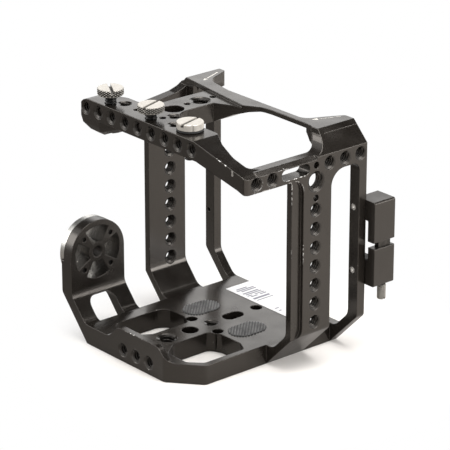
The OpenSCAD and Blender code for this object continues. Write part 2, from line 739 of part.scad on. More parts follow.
// Holes in the top, as [x, y]
bar_first_x = across(-59.8);
bar_hole_depth = 5.2;
// The bar's holes in front of two thumb screws are short, so that they stop ahead of the bores
bar_short_depth = 1.9;
bar_short = [1, 4];
function on_top(p) = [across(p.x), across(p.y) - bar_front];
thumb_left = on_top([-46.6, 4.8]);
thumb_middle = on_top([-17.7, 5.5]);
thumb_right = on_top([6.5, 8.7]);
top_quarter = [[-41.4, 9.1], [-12.7, 15.2], [-3.7, 8.1]];
top_small = [[-14.3, 9.7], [-30.9, 7.8]];
top_small_d = 3.2;
top_big = on_top([-20.9, 21.6]);
top_big_d = 10;
bridge_hole_in = 17.1;
bridge_hole = [across(-22.3), back_rear - bridge_hole_in];
// Blind hole in the left post's front face, as [distance in from the wall, depth below the rail]
post_hole = [2.4, 54.6];
post_hole_depth = 3;
module top_holes() {
    for (i = [0:bar_holes - 1])
        into_front(bar_first_x + i * bar_pitch, -bar_front, bar_top_z - bar_h / 2)
            quarter(len(search(i, bar_short)) > 0 ? bar_short_depth : bar_hole_depth);
    translate([0, 0, bar_top_z]) {
        for (p = [thumb_left, thumb_middle, thumb_right]) translate([p.x, p.y, -bar_h - lobe_h])
            cylinder(d = shank_d + 2 * run_fit, h = bar_h + lobe_h + over, $fn = round_fn);
        for (p = top_quarter) translate(on_top(p)) quarter(bar_h + lobe_h);
        for (p = top_small) translate(on_top(p)) translate([0, 0, -bar_h - over])
            cylinder(d = top_small_d, h = bar_h + 2 * over, $fn = round_fn);
        translate([top_big.x, top_big.y, -bar_h - over])
            cylinder(d = top_big_d, h = bar_h + 2 * over, $fn = round_fn);
        translate(bridge_hole) three_eighth(bar_h + over);
        for (end = [-1, 1]) translate([bridge_hole.x, bridge_hole.y + end * locating_gap / 2, -bar_h - over])
            cylinder(d = locating_d, h = bar_h + 2 * over, $fn = round_fn);
    }
    into_front(post_hole.x - wall_out, post_y, rail_z - post_hole.y) translate([0, 0, -post_hole_depth])
        cylinder(d = clamp_screw_d, h = post_hole_depth + over, $fn = round_fn);
    for (z = [mount_screw_z, guide_screw_z]) into_front(clamp_screw_x, post_y, z) {
        translate([0, 0, -post_d - over]) cylinder(d = clamp_screw_d, h = post_d + 2 * over, $fn = round_fn);
        translate([0, 0, -clamp_head_h]) cylinder(d = clamp_head_d, h = clamp_head_h + over, $fn = round_fn);
    }
}

// Directions of the thumb screws' slots
slot_turn_left = 150;
slot_turn_middle = 108;
slot_turn_right = 105;

// Thumb screws: each turns in its bore in the bar, and a washer rides on its shank under the head
notch_r = 1.3;
notch_share = 0.75;
module thumb_screw(place, raised, slot_turn, notches) {
    color("antiquewhite") translate([place.x, place.y, bar_top_z + raised]) difference() {
        union() {
            cylinder(d = head_d, h = head_h, $fn = outline_fn);
            translate([0, 0, -bar_h - reach])
                cylinder(d = shank_d, h = bar_h + reach + over, $fn = round_fn);
        }
        translate([0, 0, head_h - slot_h]) rotate(slot_turn)
            translate([-head_d, -slot_w / 2, 0]) cube([2 * head_d, slot_w, slot_h + over]);
        if (notches) for (i = [0:3]) rotate(slot_turn + 45 + 90 * i)
            translate([head_d / 2 + notch_r * notch_share, 0, -over])
                cylinder(r = notch_r, h = head_h + 2 * over, $fn = round_fn);
    }
}
module thumb_screw_left() {
    thumb_screw(thumb_left, raised_left, slot_turn_left, false);
}
module thumb_screw_middle() {
    thumb_screw(thumb_middle, raised_middle, slot_turn_middle, false);
}
module thumb_screw_right() {
    thumb_screw(thumb_right, raised_right, slot_turn_right, true);
}
module thumb_washer(place, raised, d) {
    color("#202020") translate([place.x, place.y, bar_top_z + raised - run_fit - washer_t]) difference() {
        cylinder(d = d, h = washer_t, $fn = outline_fn);
        translate([0, 0, -over])
            cylinder(d = shank_d + 2 * run_fit, h = washer_t + 2 * over, $fn = round_fn);
    }
}

// Plug clamp behind the right post. Its screw turns in the lower jaw and in the tongue's thread
clamp_step = 0.1;
clamp_x = wall_out - post_w - clamp_step;
clamp_out = clamp_x + clamp_w;
clamp_end_y = base_back + clamp_d;
clamp_low_z = clamp_top_z - jaw_h;
lower_top_z = clamp_low_z - jaw_gap;
lower_z = lower_top_z - jaw_low_h;
clamp_screw_d = 2;
clamp_head_d = 3;
clamp_head_h = 1.1;
clamp_screw_x = wall_out - 3.7;
mount_screw_z = clamp_top_z - 3.3;
guide_screw_z = lower_z + 7.3;
// Tongue: let into the upper jaw, running in the lower jaw's slot
tongue_t = 2.6;
tongue_w = 7.4;
tongue_in = 6;
tongue_reach = 4.6;
tongue_y = base_back + clamp_d / 2 + 0.9;
tongue_x = clamp_out - jaw_wall / 2;
// Travel of the lower jaw up and down
travel_up = 2.5;
travel_down = 1;
module jaw_outline(z0, z1, arm0, arm1) {
    polygon(rounded([
        [clamp_x, arm0, corner_r / 12], [clamp_out - jaw_wall, arm0, corner_r / 6],
        [clamp_out - jaw_wall, arm1, 0], [clamp_out, arm1, corner_r / 12],
        [clamp_out, z1, corner_r / 6], [clamp_x, z1, corner_r / 8]]));
}
module tongue_space(grow, z0, z1) {
    block([tongue_x - tongue_t / 2 - grow, tongue_y - tongue_w / 2 - grow, z0],
          [tongue_x + tongue_t / 2 + grow, tongue_y + tongue_w / 2 + grow, z1]);
}
module clamp_upper_jaw() {
    color("#3a3836") difference() {
        along_y(base_back, clamp_end_y) jaw_outline(0, clamp_top_z, clamp_top_z - arm_up_h, clamp_low_z);
        tongue_space(0, clamp_low_z - over, clamp_low_z + tongue_in);
        into_front(clamp_screw_x, base_back, mount_screw_z) translate([0, 0, -mount_screw_l])
            cylinder(d = clamp_screw_d, h = mount_screw_l + over, $fn = round_fn);
        translate([tongue_x, tongue_y, clamp_low_z])
            cylinder(d = clamp_thread_d + 2 * seat_gap, h = tongue_in + 2 * over, $fn = round_fn);
    }
}
mount_screw_l = 6;
module clamp_lower_jaw() {
    color("#3a3836") difference() {
        along_y(base_back + seat_gap, clamp_end_y) jaw_outline(0, lower_z, lower_z + arm_low_h, lower_top_z);
        tongue_space(run_fit, lower_top_z - jaw_gap - tongue_reach - travel_up, lower_top_z + over);
        translate([tongue_x, tongue_y, lower_z - over])
            cylinder(d = clamp_thread_d + 2 * run_fit, h = jaw_low_h + 2 * over, $fn = round_fn);
        // The arm is lower behind its front lip
        block([clamp_x - over, base_back + arm_lip, lower_z + arm_low_h - arm_step],
              [clamp_out - jaw_wall, clamp_end_y + over, lower_z + arm_low_h + over]);
        // Groove for the guide screw's tip
        for (z = [guide_screw_z - travel_up - seat_gap, guide_screw_z + travel_down + seat_gap])
            into_front(clamp_screw_x, base_back, z) translate([0, 0, -guide_tip_l - seat_gap])
                cylinder(d = clamp_screw_d + 2 * seat_gap, h = guide_tip_l + seat_gap + over,
                    $fn = round_fn);
        block([clamp_screw_x - clamp_screw_d / 2 - seat_gap, base_back - over,
               guide_screw_z - travel_up - seat_gap],
              [clamp_screw_x + clamp_screw_d / 2 + seat_gap, base_back + guide_tip_l + seat_gap,
               guide_screw_z + travel_down + seat_gap]);
    }
}
guide_tip_l = 2;
arm_lip = 6;
arm_step = 3;
module clamp_guide_tongue() {
    color("silver") difference() {
        tongue_space(0, lower_top_z - tongue_reach, clamp_low_z + tongue_in);
        translate([tongue_x, tongue_y, lower_top_z - tongue_reach - over])
            cylinder(d = clamp_thread_d + 2 * run_fit, h = tongue_reach + jaw_gap + tongue_in + 2 * over,
                $fn = round_fn);
    }
}
module clamp_screw() {
    color("antiquewhite") translate([tongue_x, tongue_y, lower_z - seat_gap]) difference() {
        union() {
            translate([0, 0, -knob_h]) cylinder(d = knob_d, h = knob_h, $fn = outline_fn);
            translate([0, 0, -over]) cylinder(
                d = clamp_thread_d, h = seat_gap + jaw_low_h + jaw_gap + 2 * over, $fn = round_fn);
        }
        translate([-knob_d, -slot_w / 4, -knob_h - over]) cube([2 * knob_d, slot_w / 2, over + knob_slot_h]);
    }
}
knob_slot_h = 1;
// A small socket screw: its head lies flush in the post's front face
module socket_screw(z, length) {
    color("gray") into_front(clamp_screw_x, post_y, z) difference() {
        union() {
            translate([0, 0, -clamp_head_h]) cylinder(d = clamp_head_d, h = clamp_head_h, $fn = round_fn);
            translate([0, 0, -length])
                cylinder(d = clamp_screw_d, h = length - clamp_head_h / 2, $fn = round_fn);
        }
        translate([0, 0, -clamp_head_h * socket_share])
            cylinder(d = clamp_head_d * socket_share, h = over, $fn = 6);
    }
}
jaw_pad_t = 0.8;
jaw_pad_in = 0.6;
module jaw_pad(z, end_y) {
    color("dimgray") block(
        [clamp_x + jaw_pad_in, base_back + jaw_pad_in + seat_gap, z],
        [clamp_out - jaw_wall - 2 * jaw_pad_in, end_y - jaw_pad_in, z + jaw_pad_t]);
}

// Label on the base, behind the middle
label_low = [-26.5, 31.8];
label_high = [28, base_back - seat_gap];
label_t = 0.2;
module base_label() {
    color("white") block([label_low.x, label_low.y, base_t], [label_high.x, label_high.y, base_t + label_t]);
}

module cage_frame() {
    color("#3a3836") difference() {
        union() {
            base_plate();
            for (side = [-1, 1]) {
                column(side);
                post(side);
            }
            rosette_wall();
            top_frame();
            rails();
            shoulder();
        }
        translate([0, 0, -over]) linear_extrude(base_t + 2 * over) {
            right_window_outline();
            left_window_outline();
        }
        for (side = [-1, 1]) translate([side * pad_gap / 2, pad_y, base_t - pad_sunk])
            linear_extrude(pad_sunk + over) pad_outline(seat_gap / 3);
        side_holes();
        top_holes();
    }
}

cage_frame();
rosette();
rosette_screw(0);  // rosette_screw_1
rosette_screw(1);  // rosette_screw_2
rosette_screw(2);  // rosette_screw_3
rosette_screw(3);  // rosette_screw_4
thumb_screw_left();
thumb_screw_middle();
thumb_screw_right();
thumb_washer(thumb_left, raised_left, washer_d);  // thumb_washer_left
thumb_washer(thumb_middle, raised_middle, washer_d);  // thumb_washer_middle
thumb_washer(thumb_right, raised_right, head_d);  // thumb_washer_right
base_pad(-1);  // base_pad_left
base_pad(1);  // base_pad_right
clamp_upper_jaw();
clamp_lower_jaw();
clamp_screw();
clamp_guide_tongue();
jaw_pad(clamp_top_z - arm_up_h - jaw_pad_t, clamp_end_y);  // clamp_pad_upper
jaw_pad(lower_z + arm_low_h, base_back + arm_lip);  // clamp_pad_lower
socket_screw(mount_screw_z, post_d + mount_screw_l);  // clamp_mount_screw
socket_screw(guide_screw_z, post_d + guide_tip_l);  // clamp_guide_screw
base_label();
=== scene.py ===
"""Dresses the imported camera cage: finishes, threads, knurled screws, marks, floor, light and camera."""

import json
import logging
import math
from dataclasses import dataclass, field
from enum import Enum

import bmesh
import bpy
from mathutils import Matrix, Vector


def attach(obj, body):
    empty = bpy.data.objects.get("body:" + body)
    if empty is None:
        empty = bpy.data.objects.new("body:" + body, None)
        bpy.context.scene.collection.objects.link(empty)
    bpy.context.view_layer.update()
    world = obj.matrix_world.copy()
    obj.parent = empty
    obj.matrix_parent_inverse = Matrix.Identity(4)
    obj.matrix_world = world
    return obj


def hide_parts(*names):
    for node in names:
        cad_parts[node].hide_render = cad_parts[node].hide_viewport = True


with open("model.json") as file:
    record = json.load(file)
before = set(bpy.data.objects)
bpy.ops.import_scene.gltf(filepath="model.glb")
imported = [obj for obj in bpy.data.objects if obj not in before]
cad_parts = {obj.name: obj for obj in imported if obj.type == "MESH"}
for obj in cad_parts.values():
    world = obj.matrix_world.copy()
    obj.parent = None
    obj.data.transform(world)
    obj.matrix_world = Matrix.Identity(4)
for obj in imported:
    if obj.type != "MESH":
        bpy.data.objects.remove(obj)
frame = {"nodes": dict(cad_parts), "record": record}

MM = 0.001
Pair = tuple[float, float]
Point = tuple[float, float, float]
Colour = tuple[float, float, float]
Output = str | int
WHITE: Colour = (1.0, 1.0, 1.0)
WARM: Colour = (1.0, 0.985, 0.965)
# A mix node's sockets for its two colours and for their mix.
MIX_A, MIX_B, MIX_OUT = 6, 7, 2
# A wave texture multiplies its scale by this.
WAVE_FACTOR = 20.0
log = logging.getLogger("camera_cage")


class Axis(Enum):
    """The way that a hole goes into the metal from its mouth."""

    IN_FROM_RIGHT = (-1.0, 0.0, 0.0)
    IN_FROM_FRONT = (0.0, 1.0, 0.0)
    DOWN = (0.0, 0.0, -1.0)


class Thread(Enum):
    """A thread's wall radius, depth of its ridges, pitch and countersink depth, in millimetres."""

    QUARTER = (2.65, 0.60, 1.27, 0.8)
    THREE_EIGHTHS = (4.1, 0.70, 1.5875, 1.0)
    METRIC_SIX = (2.8, 0.45, 1.0, 0.0)


class Grip(Enum):
    """How a thumb screw's head is gripped: the points round it and the rings up its side."""

    KNURLED = (228, 15)
    NOTCHED = (96, 5)


@dataclass(frozen=True)
class Grain:
    """A noise: cells in a metre, octaves and roughness, and the part of its range that a mask spreads."""

    scale: float
    detail: float = 2.0
    rough: float = 0.5
    low: float = 0.3
    high: float = 0.75


class Graph:
    """A material's node tree, with short ways to add nodes and join them."""

    def __init__(self, name: str) -> None:
        """Makes a material with a principled shader.

        Args:
            name: The material's name.
        """
        self.material = bpy.data.materials.new(name)
        self.material.use_nodes = True
        self.tree = self.material.node_tree
        self.tree.nodes.clear()
        self.output = self.tree.nodes.new("ShaderNodeOutputMaterial")
        self.shader = self.add("ShaderNodeBsdfPrincipled")
        self.join(self.shader, "BSDF", self.output, "Surface")

    def add(self, kind: str, **values: object) -> bpy.types.Node:
        """Adds a node.

        Args:
            kind: The node's type.
            values: Properties and input values by name, with spaces as underscores.

        Returns:
            The new node.
        """
        node = self.tree.nodes.new(kind)
        for name, value in values.items():
            if hasattr(node, name):
                setattr(node, name, value)
            else:
                node.inputs[name.replace("_", " ")].default_value = value
        return node

    def join(self, a: bpy.types.Node, out: Output, b: bpy.types.Node, into: Output) -> None:
        """Links output out of node a to input into of node b."""
        self.tree.links.new(a.outputs[out], b.inputs[into])

    def look(self, **values: object) -> None:
        """Sets the shader's inputs by name, with spaces as underscores."""
        for name, value in values.items():
            self.shader.inputs[name.replace("_", " ")].default_value = value

    def noise(self, grain: Grain) -> bpy.types.Node:
        """Adds a noise texture on object coordinates.

        Args:
            grain: The noise.

        Returns:
            The texture's node, with the noise in its Fac output.
        """
        node = self.add("ShaderNodeTexNoise", Scale=grain.scale, Detail=grain.detail, Roughness=grain.rough)
        self.join(self.add("ShaderNodeTexCoord"), "Object", node, "Vector")
        return node

    def mask(self, grain: Grain, to_low: float = 0.0, to_high: float = 1.0) -> bpy.types.Node:
        """Adds a noise whose own range is spread over to_low to to_high."""
        return self.spread(self.noise(grain), "Fac", grain.low, grain.high, to_low, to_high)

    def combine(self, kind: str, a: bpy.types.Node, b: bpy.types.Node,
                out_a: Output = 0, out_b: Output = 0) -> bpy.types.Node:
        """Adds a math node over two outputs.

        Args:
            kind: The operation.
            a: The first node.
            b: The second node.
            out_a: The first node's output.
            out_b: The second node's output.

        Returns:
            The math node.
        """
        node = self.add("ShaderNodeMath", operation=kind)
        self.join(a, out_a, node, 0)
        self.join(b, out_b, node, 1)
        return node

    def spread(self, a: bpy.types.Node, out: Output, low: float, high: float,
               to_low: float = 0.0, to_high: float = 1.0) -> bpy.types.Node:
        """Adds a clamped map of one range onto another.

        Args:
            a: The node that gives the value.
            out: Its output.
            low: The value that becomes to_low.
            high: The value that becomes to_high.
            to_low: The new range's one end.
            to_high: The new range's other end.

        Returns:
            The map's node.
        """
        node = self.add("ShaderNodeMapRange", clamp=True)
        self.join(a, out, node, "Value")
        for name, value in (("From Min", low), ("From Max", high), ("To Min", to_low), ("To Max", to_high)):
            node.inputs[name].default_value = value
        return node

    def offset(self, kind: str, place: bpy.types.Node, out: str, point: Point) -> bpy.types.Node:
        """Adds the distance or the difference between a position and a fixed point.

        Args:
            kind: DISTANCE or SUBTRACT.
            place: The node that gives the position.
            out: Its output.
            point: The point, in millimetres.

        Returns:
            The vector math node.
        """
        node = self.add("ShaderNodeVectorMath", operation=kind)
        self.join(place, out, node, 0)
        node.inputs[1].default_value = tuple(v * MM for v in point)
        return node

    def openness(self, reach: float, low: float, high: float, top: float = 1.0,
                 inside: bool = False) -> bpy.types.Node:
        """Adds a mask of how open the surroundings of a spot are.

        Args:
            reach: How far the node looks, in metres.
            low: The openness at which the mask is 0.
            high: The openness at which the mask is at its top.
            top: The mask's highest value.
            inside: Whether it looks into the metal, where little room means a convex edge.

        Returns:
            The mask's node.
        """
        room = self.add("ShaderNodeAmbientOcclusion", samples=6, inside=inside, Distance=reach)
        return self.spread(room, "AO", low, high, 0.0, top)

    def mix(self, mask: bpy.types.Node, low: Colour, high: Colour, out: Output = 0) -> bpy.types.Node:
        """Adds a mix of two colours.

        Args:
            mask: The node that gives the share of the second colour.
            low: The first colour.
            high: The second colour.
            out: The mask's output.

        Returns:
            The mix's node.
        """
        node = self.add("ShaderNodeMix", data_type="RGBA")
        self.join(mask, out, node, 0)
        node.inputs[MIX_A].default_value = (*low, 1.0)
        node.inputs[MIX_B].default_value = (*high, 1.0)
        return node

    def paint(self, mask: bpy.types.Node, low: Colour, high: Colour) -> None:
        """Colours the shader from low to high by a mask."""
        self.join(self.mix(mask, low, high), MIX_OUT, self.shader, "Base Color")

    def bump(self, height: bpy.types.Node, strength: float, distance: float, edge: float = 0.0) -> None:
        """Bumps the shader's normal.

        Args:
            height: The texture whose Fac output is the height.
            strength: How strongly it shows.
            distance: How high it is, in metres.
            edge: The radius to which edges are shaded as rounded, in metres, or 0 to leave them sharp.
        """
        node = self.add("ShaderNodeBump", Strength=strength, Distance=distance)
        self.join(height, "Fac", node, "Height")
        if edge:
            self.join(self.add("ShaderNodeBevel", samples=8, Radius=edge), 0, node, "Normal")
        self.join(node, "Normal", self.shader, "Normal")


@dataclass(frozen=True)
class WornSpot:
    """A place on the frame, in millimetres, where the black is chipped or flaked down to bare metal."""

    centre: Point
    radius: float


WORN = (
    WornSpot((52.0, -15.0, 95.4), 9.0), WornSpot((54.6, 4.0, 95.0), 8.0),
    WornSpot((54.6, -4.0, 104.4), 4.0), WornSpot((54.6, 8.6, 60.5), 6.5),
    WornSpot((51.5, 3.0, 87.0), 4.0), WornSpot((0.0, -46.0, 14.0), 8.0),
)
FLAKED = (
    WornSpot((35.4, -26.4, 108.4), 0.6), WornSpot((37.4, -26.4, 107.8), 0.9),
    WornSpot((41.2, -26.4, 106.6), 0.6), WornSpot((45.9, -26.4, 104.6), 0.7),
    WornSpot((46.0, -26.4, 103.4), 0.8), WornSpot((54.6, -3.4, 103.6), 0.7),
)


@dataclass(frozen=True)
class Anodised:
    """Black anodised aluminium: bead-blasted grain, softly broken edges, bright chips along worn edges."""

    name: str
    colour: Colour = (0.0075, 0.0062, 0.0052)
    cast: Colour = (0.0125, 0.0105, 0.0088)
    bare: Colour = (0.78, 0.77, 0.75)
    # The tint of reflections; lowered for the threads as painted shade inside the holes.
    sheen: Colour = (1.0, 0.93, 0.86)
    index: float = 1.66
    roughness: float = 0.215
    swing: Pair = (-0.05, 0.07)
    edge: float = 0.00050
    tone: Grain = Grain(70.0, 4.0)
    gloss: Grain = Grain(90.0, 4.0)
    blast: Grain = Grain(5200.0, rough=0.6)
    blast_strength: float = 0.07
    blast_height: float = 0.00004
    flecks: Grain = Grain(620.0, 3.0, 0.62)
    rare: Pair = (0.69, 0.72)
    dense: Pair = (0.50, 0.53)
    chip_reach: float = 0.00050
    crest_reach: float = 0.00030
    worn: tuple[WornSpot, ...] = ()
    flaked: tuple[WornSpot, ...] = ()
    crest_highlight: float = 0.0
    chipped: bool = True

    def material(self) -> bpy.types.Material:
        """Builds the material.

        Returns:
            The material.
        """
        g = Graph(self.name)
        g.bump(g.noise(self.blast), self.blast_strength, self.blast_height, self.edge)
        g.look(IOR=self.index, Specular_Tint=(*self.sheen, 1.0))
        # Bare metal colour: real chips on the frame, a painted highlight on the thread crests.
        bare = self.chips(g) if self.chipped else self.crest_highlight_mask(g)
        coat = g.mix(g.mask(self.tone), self.colour, self.cast)
        skin = g.mix(bare, self.colour, self.bare)
        g.join(coat, MIX_OUT, skin, MIX_A)
        g.join(skin, MIX_OUT, g.shader, "Base Color")
        g.join(g.mask(self.gloss, *(self.roughness + v for v in self.swing)), 0, g.shader, "Roughness")
        g.join(bare, 0, g.shader, "Metallic")
        return g.material

    def chips(self, g: Graph) -> bpy.types.Node:
        """Adds the mask of bare metal: convex edges, broken up by noise, denser near the worn spots.

        Args:
            g: The material's graph.

        Returns:
            The mask's node.
        """
        edge = g.openness(self.chip_reach, 0.90, 0.68, inside=True)
        flecks = g.noise(self.flecks)
        mask = g.combine("MULTIPLY", edge, g.spread(flecks, "Fac", *self.rare))
        busy = g.combine("MULTIPLY", edge, g.spread(flecks, "Fac", *self.dense))
        place = g.add("ShaderNodeNewGeometry")
        for spot in self.worn:
            gap = g.offset("DISTANCE", place, "Position", spot.centre)
            near = g.spread(gap, "Value", spot.radius * MM, spot.radius * MM * 0.45)
            mask = g.combine("MAXIMUM", mask, g.combine("MULTIPLY", busy, near))
        for spot in self.flaked:
            gap = g.offset("DISTANCE", place, "Position", spot.centre)
            ragged = g.add("ShaderNodeMath", operation="MULTIPLY_ADD")
            g.join(flecks, "Fac", ragged, 0)
            ragged.inputs[1].default_value = 1.2 * MM
            g.join(gap, "Value", ragged, 2)
            flake = g.spread(ragged, 0, (spot.radius + 0.6) * MM, (spot.radius + 0.45) * MM)
            mask = g.combine("MAXIMUM", mask, flake)
        return mask

    def crest_highlight_mask(self, g: Graph) -> bpy.types.Node:
        """Adds the painted highlight on the thread crests: a share of the bare metal colour standing in for
        glints.
        """
        return g.openness(self.crest_reach, 0.75, 0.35, self.crest_highlight, inside=True)


@dataclass(frozen=True)
class PlatedMetal:
    """Plated or machined metal: a metallic base with fine tool marks, softly broken edges and, where a
    crevice reach is set, painted shade in its crevices.
    """

    name: str
    colour: Colour
    shade: Colour
    roughness: float
    swing: Pair = (-0.05, 0.08)
    tone: Grain = Grain(420.0, 3.0, low=0.35, high=0.65)
    gloss: Grain = Grain(800.0, high=0.7)
    marks: Grain = Grain(1500.0, 3.0, 0.6)
    mark_strength: float = 0.06
    mark_height: float = 0.00005
    edge: float = 0.00012
    crevice_shade_reach: float = 0.0
    patchy: float = 0.0
    metallic: float = 1.0

    def material(self) -> bpy.types.Material:
        """Builds the material.

        Returns:
            The material.
        """
        g = Graph(self.name)
        tone = g.mask(self.tone, self.patchy)
        # Painted shade: closed-in places such as knurl grooves darken towards the shade colour.
        if self.crevice_shade_reach:
            tone = g.combine("MULTIPLY", tone, g.openness(self.crevice_shade_reach, 0.68, 0.93))
        g.paint(tone, self.shade, self.colour)
        g.bump(g.noise(self.marks), self.mark_strength, self.mark_height, self.edge)
        g.join(g.mask(self.gloss, *(self.roughness + v for v in self.swing)), 0, g.shader, "Roughness")
        g.look(Metallic=self.metallic)
        return g.material


@dataclass(frozen=True)
class TurnedMetal:
    """Metal faced on a lathe: fine rings round an axis along X through the given centre."""

    name: str
    centre: Point
    colour: Colour = (0.70, 0.69, 0.66)
    shade: float = 0.84
    tone: Grain = Grain(300.0, low=0.35, high=0.65)
    roughness: float = 0.27
    ring_pitch: float = 0.00022
    ring_strength: float = 0.05
    ring_height: float = 0.00004
    edge: float = 0.00010

    def material(self) -> bpy.types.Material:
        """Builds the material.

        Returns:
            The material.
        """
        g = Graph(self.name)
        shift = g.offset("SUBTRACT", g.add("ShaderNodeTexCoord"), "Object", self.centre)
        rings = g.add("ShaderNodeTexWave", wave_type="RINGS", rings_direction="X",
                      Scale=1.0 / self.ring_pitch / WAVE_FACTOR, Distortion=0.4, Detail=1.0)
        g.join(shift, 0, rings, "Vector")
        g.bump(rings, self.ring_strength, self.ring_height, self.edge)
        g.paint(g.mask(self.tone), tuple(c * self.shade for c in self.colour), self.colour)
        g.look(Metallic=1.0, Roughness=self.roughness)
        return g.material


@dataclass(frozen=True)
class Rubber:
    """Moulded rubber: dark, matt, with a fine pitted skin, pale dust in patches, and painted shade that keeps
    the grooves dark so that only what stands proud shows pale.
    """

    name: str
    colour: Colour = (0.030, 0.030, 0.030)
    dust_and_light: Colour = (0.17, 0.17, 0.17)
    dusty: Grain = Grain(260.0, 5.0, 0.7, 0.25, 0.60)
    groove_shade_reach: float = 0.0006
    skin: Grain = Grain(3400.0, 3.0, 0.6)
    skin_strength: float = 0.35
    skin_height: float = 0.00006
    edge: float = 0.00012
    roughness: float = 0.72
    fuzz: float = 0.15

    def material(self) -> bpy.types.Material:
        """Builds the material.

        Returns:
            The material.
        """
        g = Graph(self.name)
        # Dust in noise patches, times painted shade that keeps grooves and recesses dark.
        dust_and_light = g.combine("MULTIPLY", g.mask(self.dusty), g.openness(self.groove_shade_reach, 0.45, 0.95))
        g.paint(dust_and_light, self.colour, self.dust_and_light)
        g.bump(g.noise(self.skin), self.skin_strength, self.skin_height, self.edge)
        g.look(Roughness=self.roughness, Sheen_Weight=self.fuzz)
        return g.material


@dataclass(frozen=True)
class PrintedFilm:
    """Matt white film with plain grey bars: each is its place along X, its width and its two ends along Y."""

    name: str
    low: Point
    paper: Colour = (0.90, 0.90, 0.91)
    ink: Colour = (0.24, 0.24, 0.29)
    soft: float = 0.15
    wear: Grain = Grain(700.0, low=0.25, high=0.55)
    least_ink: float = 0.9
    skin: Grain = Grain(900.0, 4.0)
    skin_strength: float = 0.08
    skin_height: float = 0.00004
    roughness: float = 0.46
    bars: tuple[tuple[float, float, float, float], ...] = (
        (4.1, 1.2, 2.6, 9.4), (5.7, 1.2, 1.6, 12.4), (7.3, 1.2, 3.2, 12.6), (9.9, 1.3, 1.8, 11.6),
        (11.6, 1.2, 2.2, 12.2), (13.4, 1.1, 1.8, 5.0), (13.4, 1.1, 6.4, 12.4), (15.0, 1.1, 2.6, 7.0),
        (15.0, 1.1, 8.4, 12.6), (17.4, 1.8, 1.8, 12.2), (20.3, 0.9, 2.0, 12.4), (33.2, 1.1, 2.0, 4.6),
        (36.3, 1.1, 1.8, 3.6))

    def material(self) -> bpy.types.Material:
        """Builds the material.

        Returns:
            The material.
        """
        g = Graph(self.name)
        split = g.add("ShaderNodeSeparateXYZ")
        g.join(g.offset("SUBTRACT", g.add("ShaderNodeTexCoord"), "Object", self.low), 0, split, 0)
        printed = None
        for start, width, low, high in self.bars:
            across = self.band(g, split, "X", start, start + width)
            bar = g.combine("MULTIPLY", across, self.band(g, split, "Y", low, high))
            printed = bar if printed is None else g.combine("MAXIMUM", printed, bar)
        g.paint(g.combine("MULTIPLY", printed, g.mask(self.wear, self.least_ink)), self.paper, self.ink)
        g.bump(g.noise(self.skin), self.skin_strength, self.skin_height)
        g.look(Roughness=self.roughness)
        return g.material

    def band(self, g: Graph, split: bpy.types.Node, axis: str, low: float, high: float) -> bpy.types.Node:
        """Adds a mask that is 1 between two values of a coordinate.

        Args:
            g: The material's graph.
            split: The node that gives the coordinates.
            axis: The coordinate's name.
            low: The lower value, in millimetres.
            high: The upper value, in millimetres.

        Returns:
            The mask's node.
        """
        up = g.spread(split, axis, low * MM, (low + self.soft) * MM)
        down = g.spread(split, axis, high * MM, (high - self.soft) * MM)
        return g.combine("MULTIPLY", up, down)


@dataclass(frozen=True)
class Paint:
    """White filling of an engraved mark, a little worn."""

    name: str
    colour: Colour = (0.78, 0.76, 0.71)
    worn: Colour = (0.42, 0.40, 0.37)
    wear: Grain = Grain(1400.0, 4.0, low=0.62, high=0.50)
    skin: Grain = Grain(2600.0)
    skin_strength: float = 0.2
    skin_height: float = 0.00004
    roughness: float = 0.6

    def material(self) -> bpy.types.Material:
        """Builds the material.

        Returns:
            The material.
        """
        g = Graph(self.name)
        g.paint(g.mask(self.wear), self.worn, self.colour)
        g.bump(g.noise(self.skin), self.skin_strength, self.skin_height)
        g.look(Roughness=self.roughness)
        return g.material


@dataclass
class MeshMaker:
    """Collects rings of points into one mesh. Points are in millimetres, or in metres with a scale of 1."""

    scale: float = MM
    verts: list[Point] = field(default_factory=list)
    faces: list[tuple[int, ...]] = field(default_factory=list)

    def ring(self, points: list[Vector]) -> list[int]:
        """Adds points.

        Args:
            points: The points in order.

        Returns:
            Their indices.
        """
        start = len(self.verts)
        self.verts.extend(tuple(p * self.scale) for p in points)
        return list(range(start, start + len(points)))

    def cap(self, ring: list[int], flip: bool = False) -> None:
        """Closes a ring with one face."""
        self.faces.append(tuple(reversed(ring)) if flip else tuple(ring))

    def stack(self, rings: list[list[int]], turned: bool = False) -> None:
        """Joins rings of one length with quads and closes both ends.

        Args:
            rings: The rings in order.
            turned: Whether their points run the other way round.
        """
        for a, b in zip(rings, rings[1:]):
            for i in range(len(a)):
                j = (i + 1) % len(a)
                self.faces.append((a[i], a[j], b[j], b[i]))
        self.cap(rings[0], flip=not turned)
        self.cap(rings[-1], flip=turned)

    def build(self, name: str, material: bpy.types.Material, smooth: float | None = None) -> bpy.types.Object:
        """Makes the object.

        Args:
            name: The piece's name.
            material: Its material.
            smooth: Faces that meet below this angle in degrees are shaded smooth, and none without it.

        Returns:
            The object, in metres.
        """
        mesh = bpy.data.meshes.new(name)
        mesh.from_pydata(self.verts, [], self.faces)
        mesh.materials.append(material)
        bm = bmesh.new()
        bm.from_mesh(mesh)
        bmesh.ops.recalc_face_normals(bm, faces=bm.faces)
        bm.to_mesh(mesh)
        bm.free()
        obj = bpy.data.objects.new(name, mesh)
        bpy.context.scene.collection.objects.link(obj)
        if smooth is not None:
            mesh.polygons.foreach_set("use_smooth", [True] * len(mesh.polygons))
            mesh.set_sharp_from_angle(angle=math.radians(smooth))
        return obj


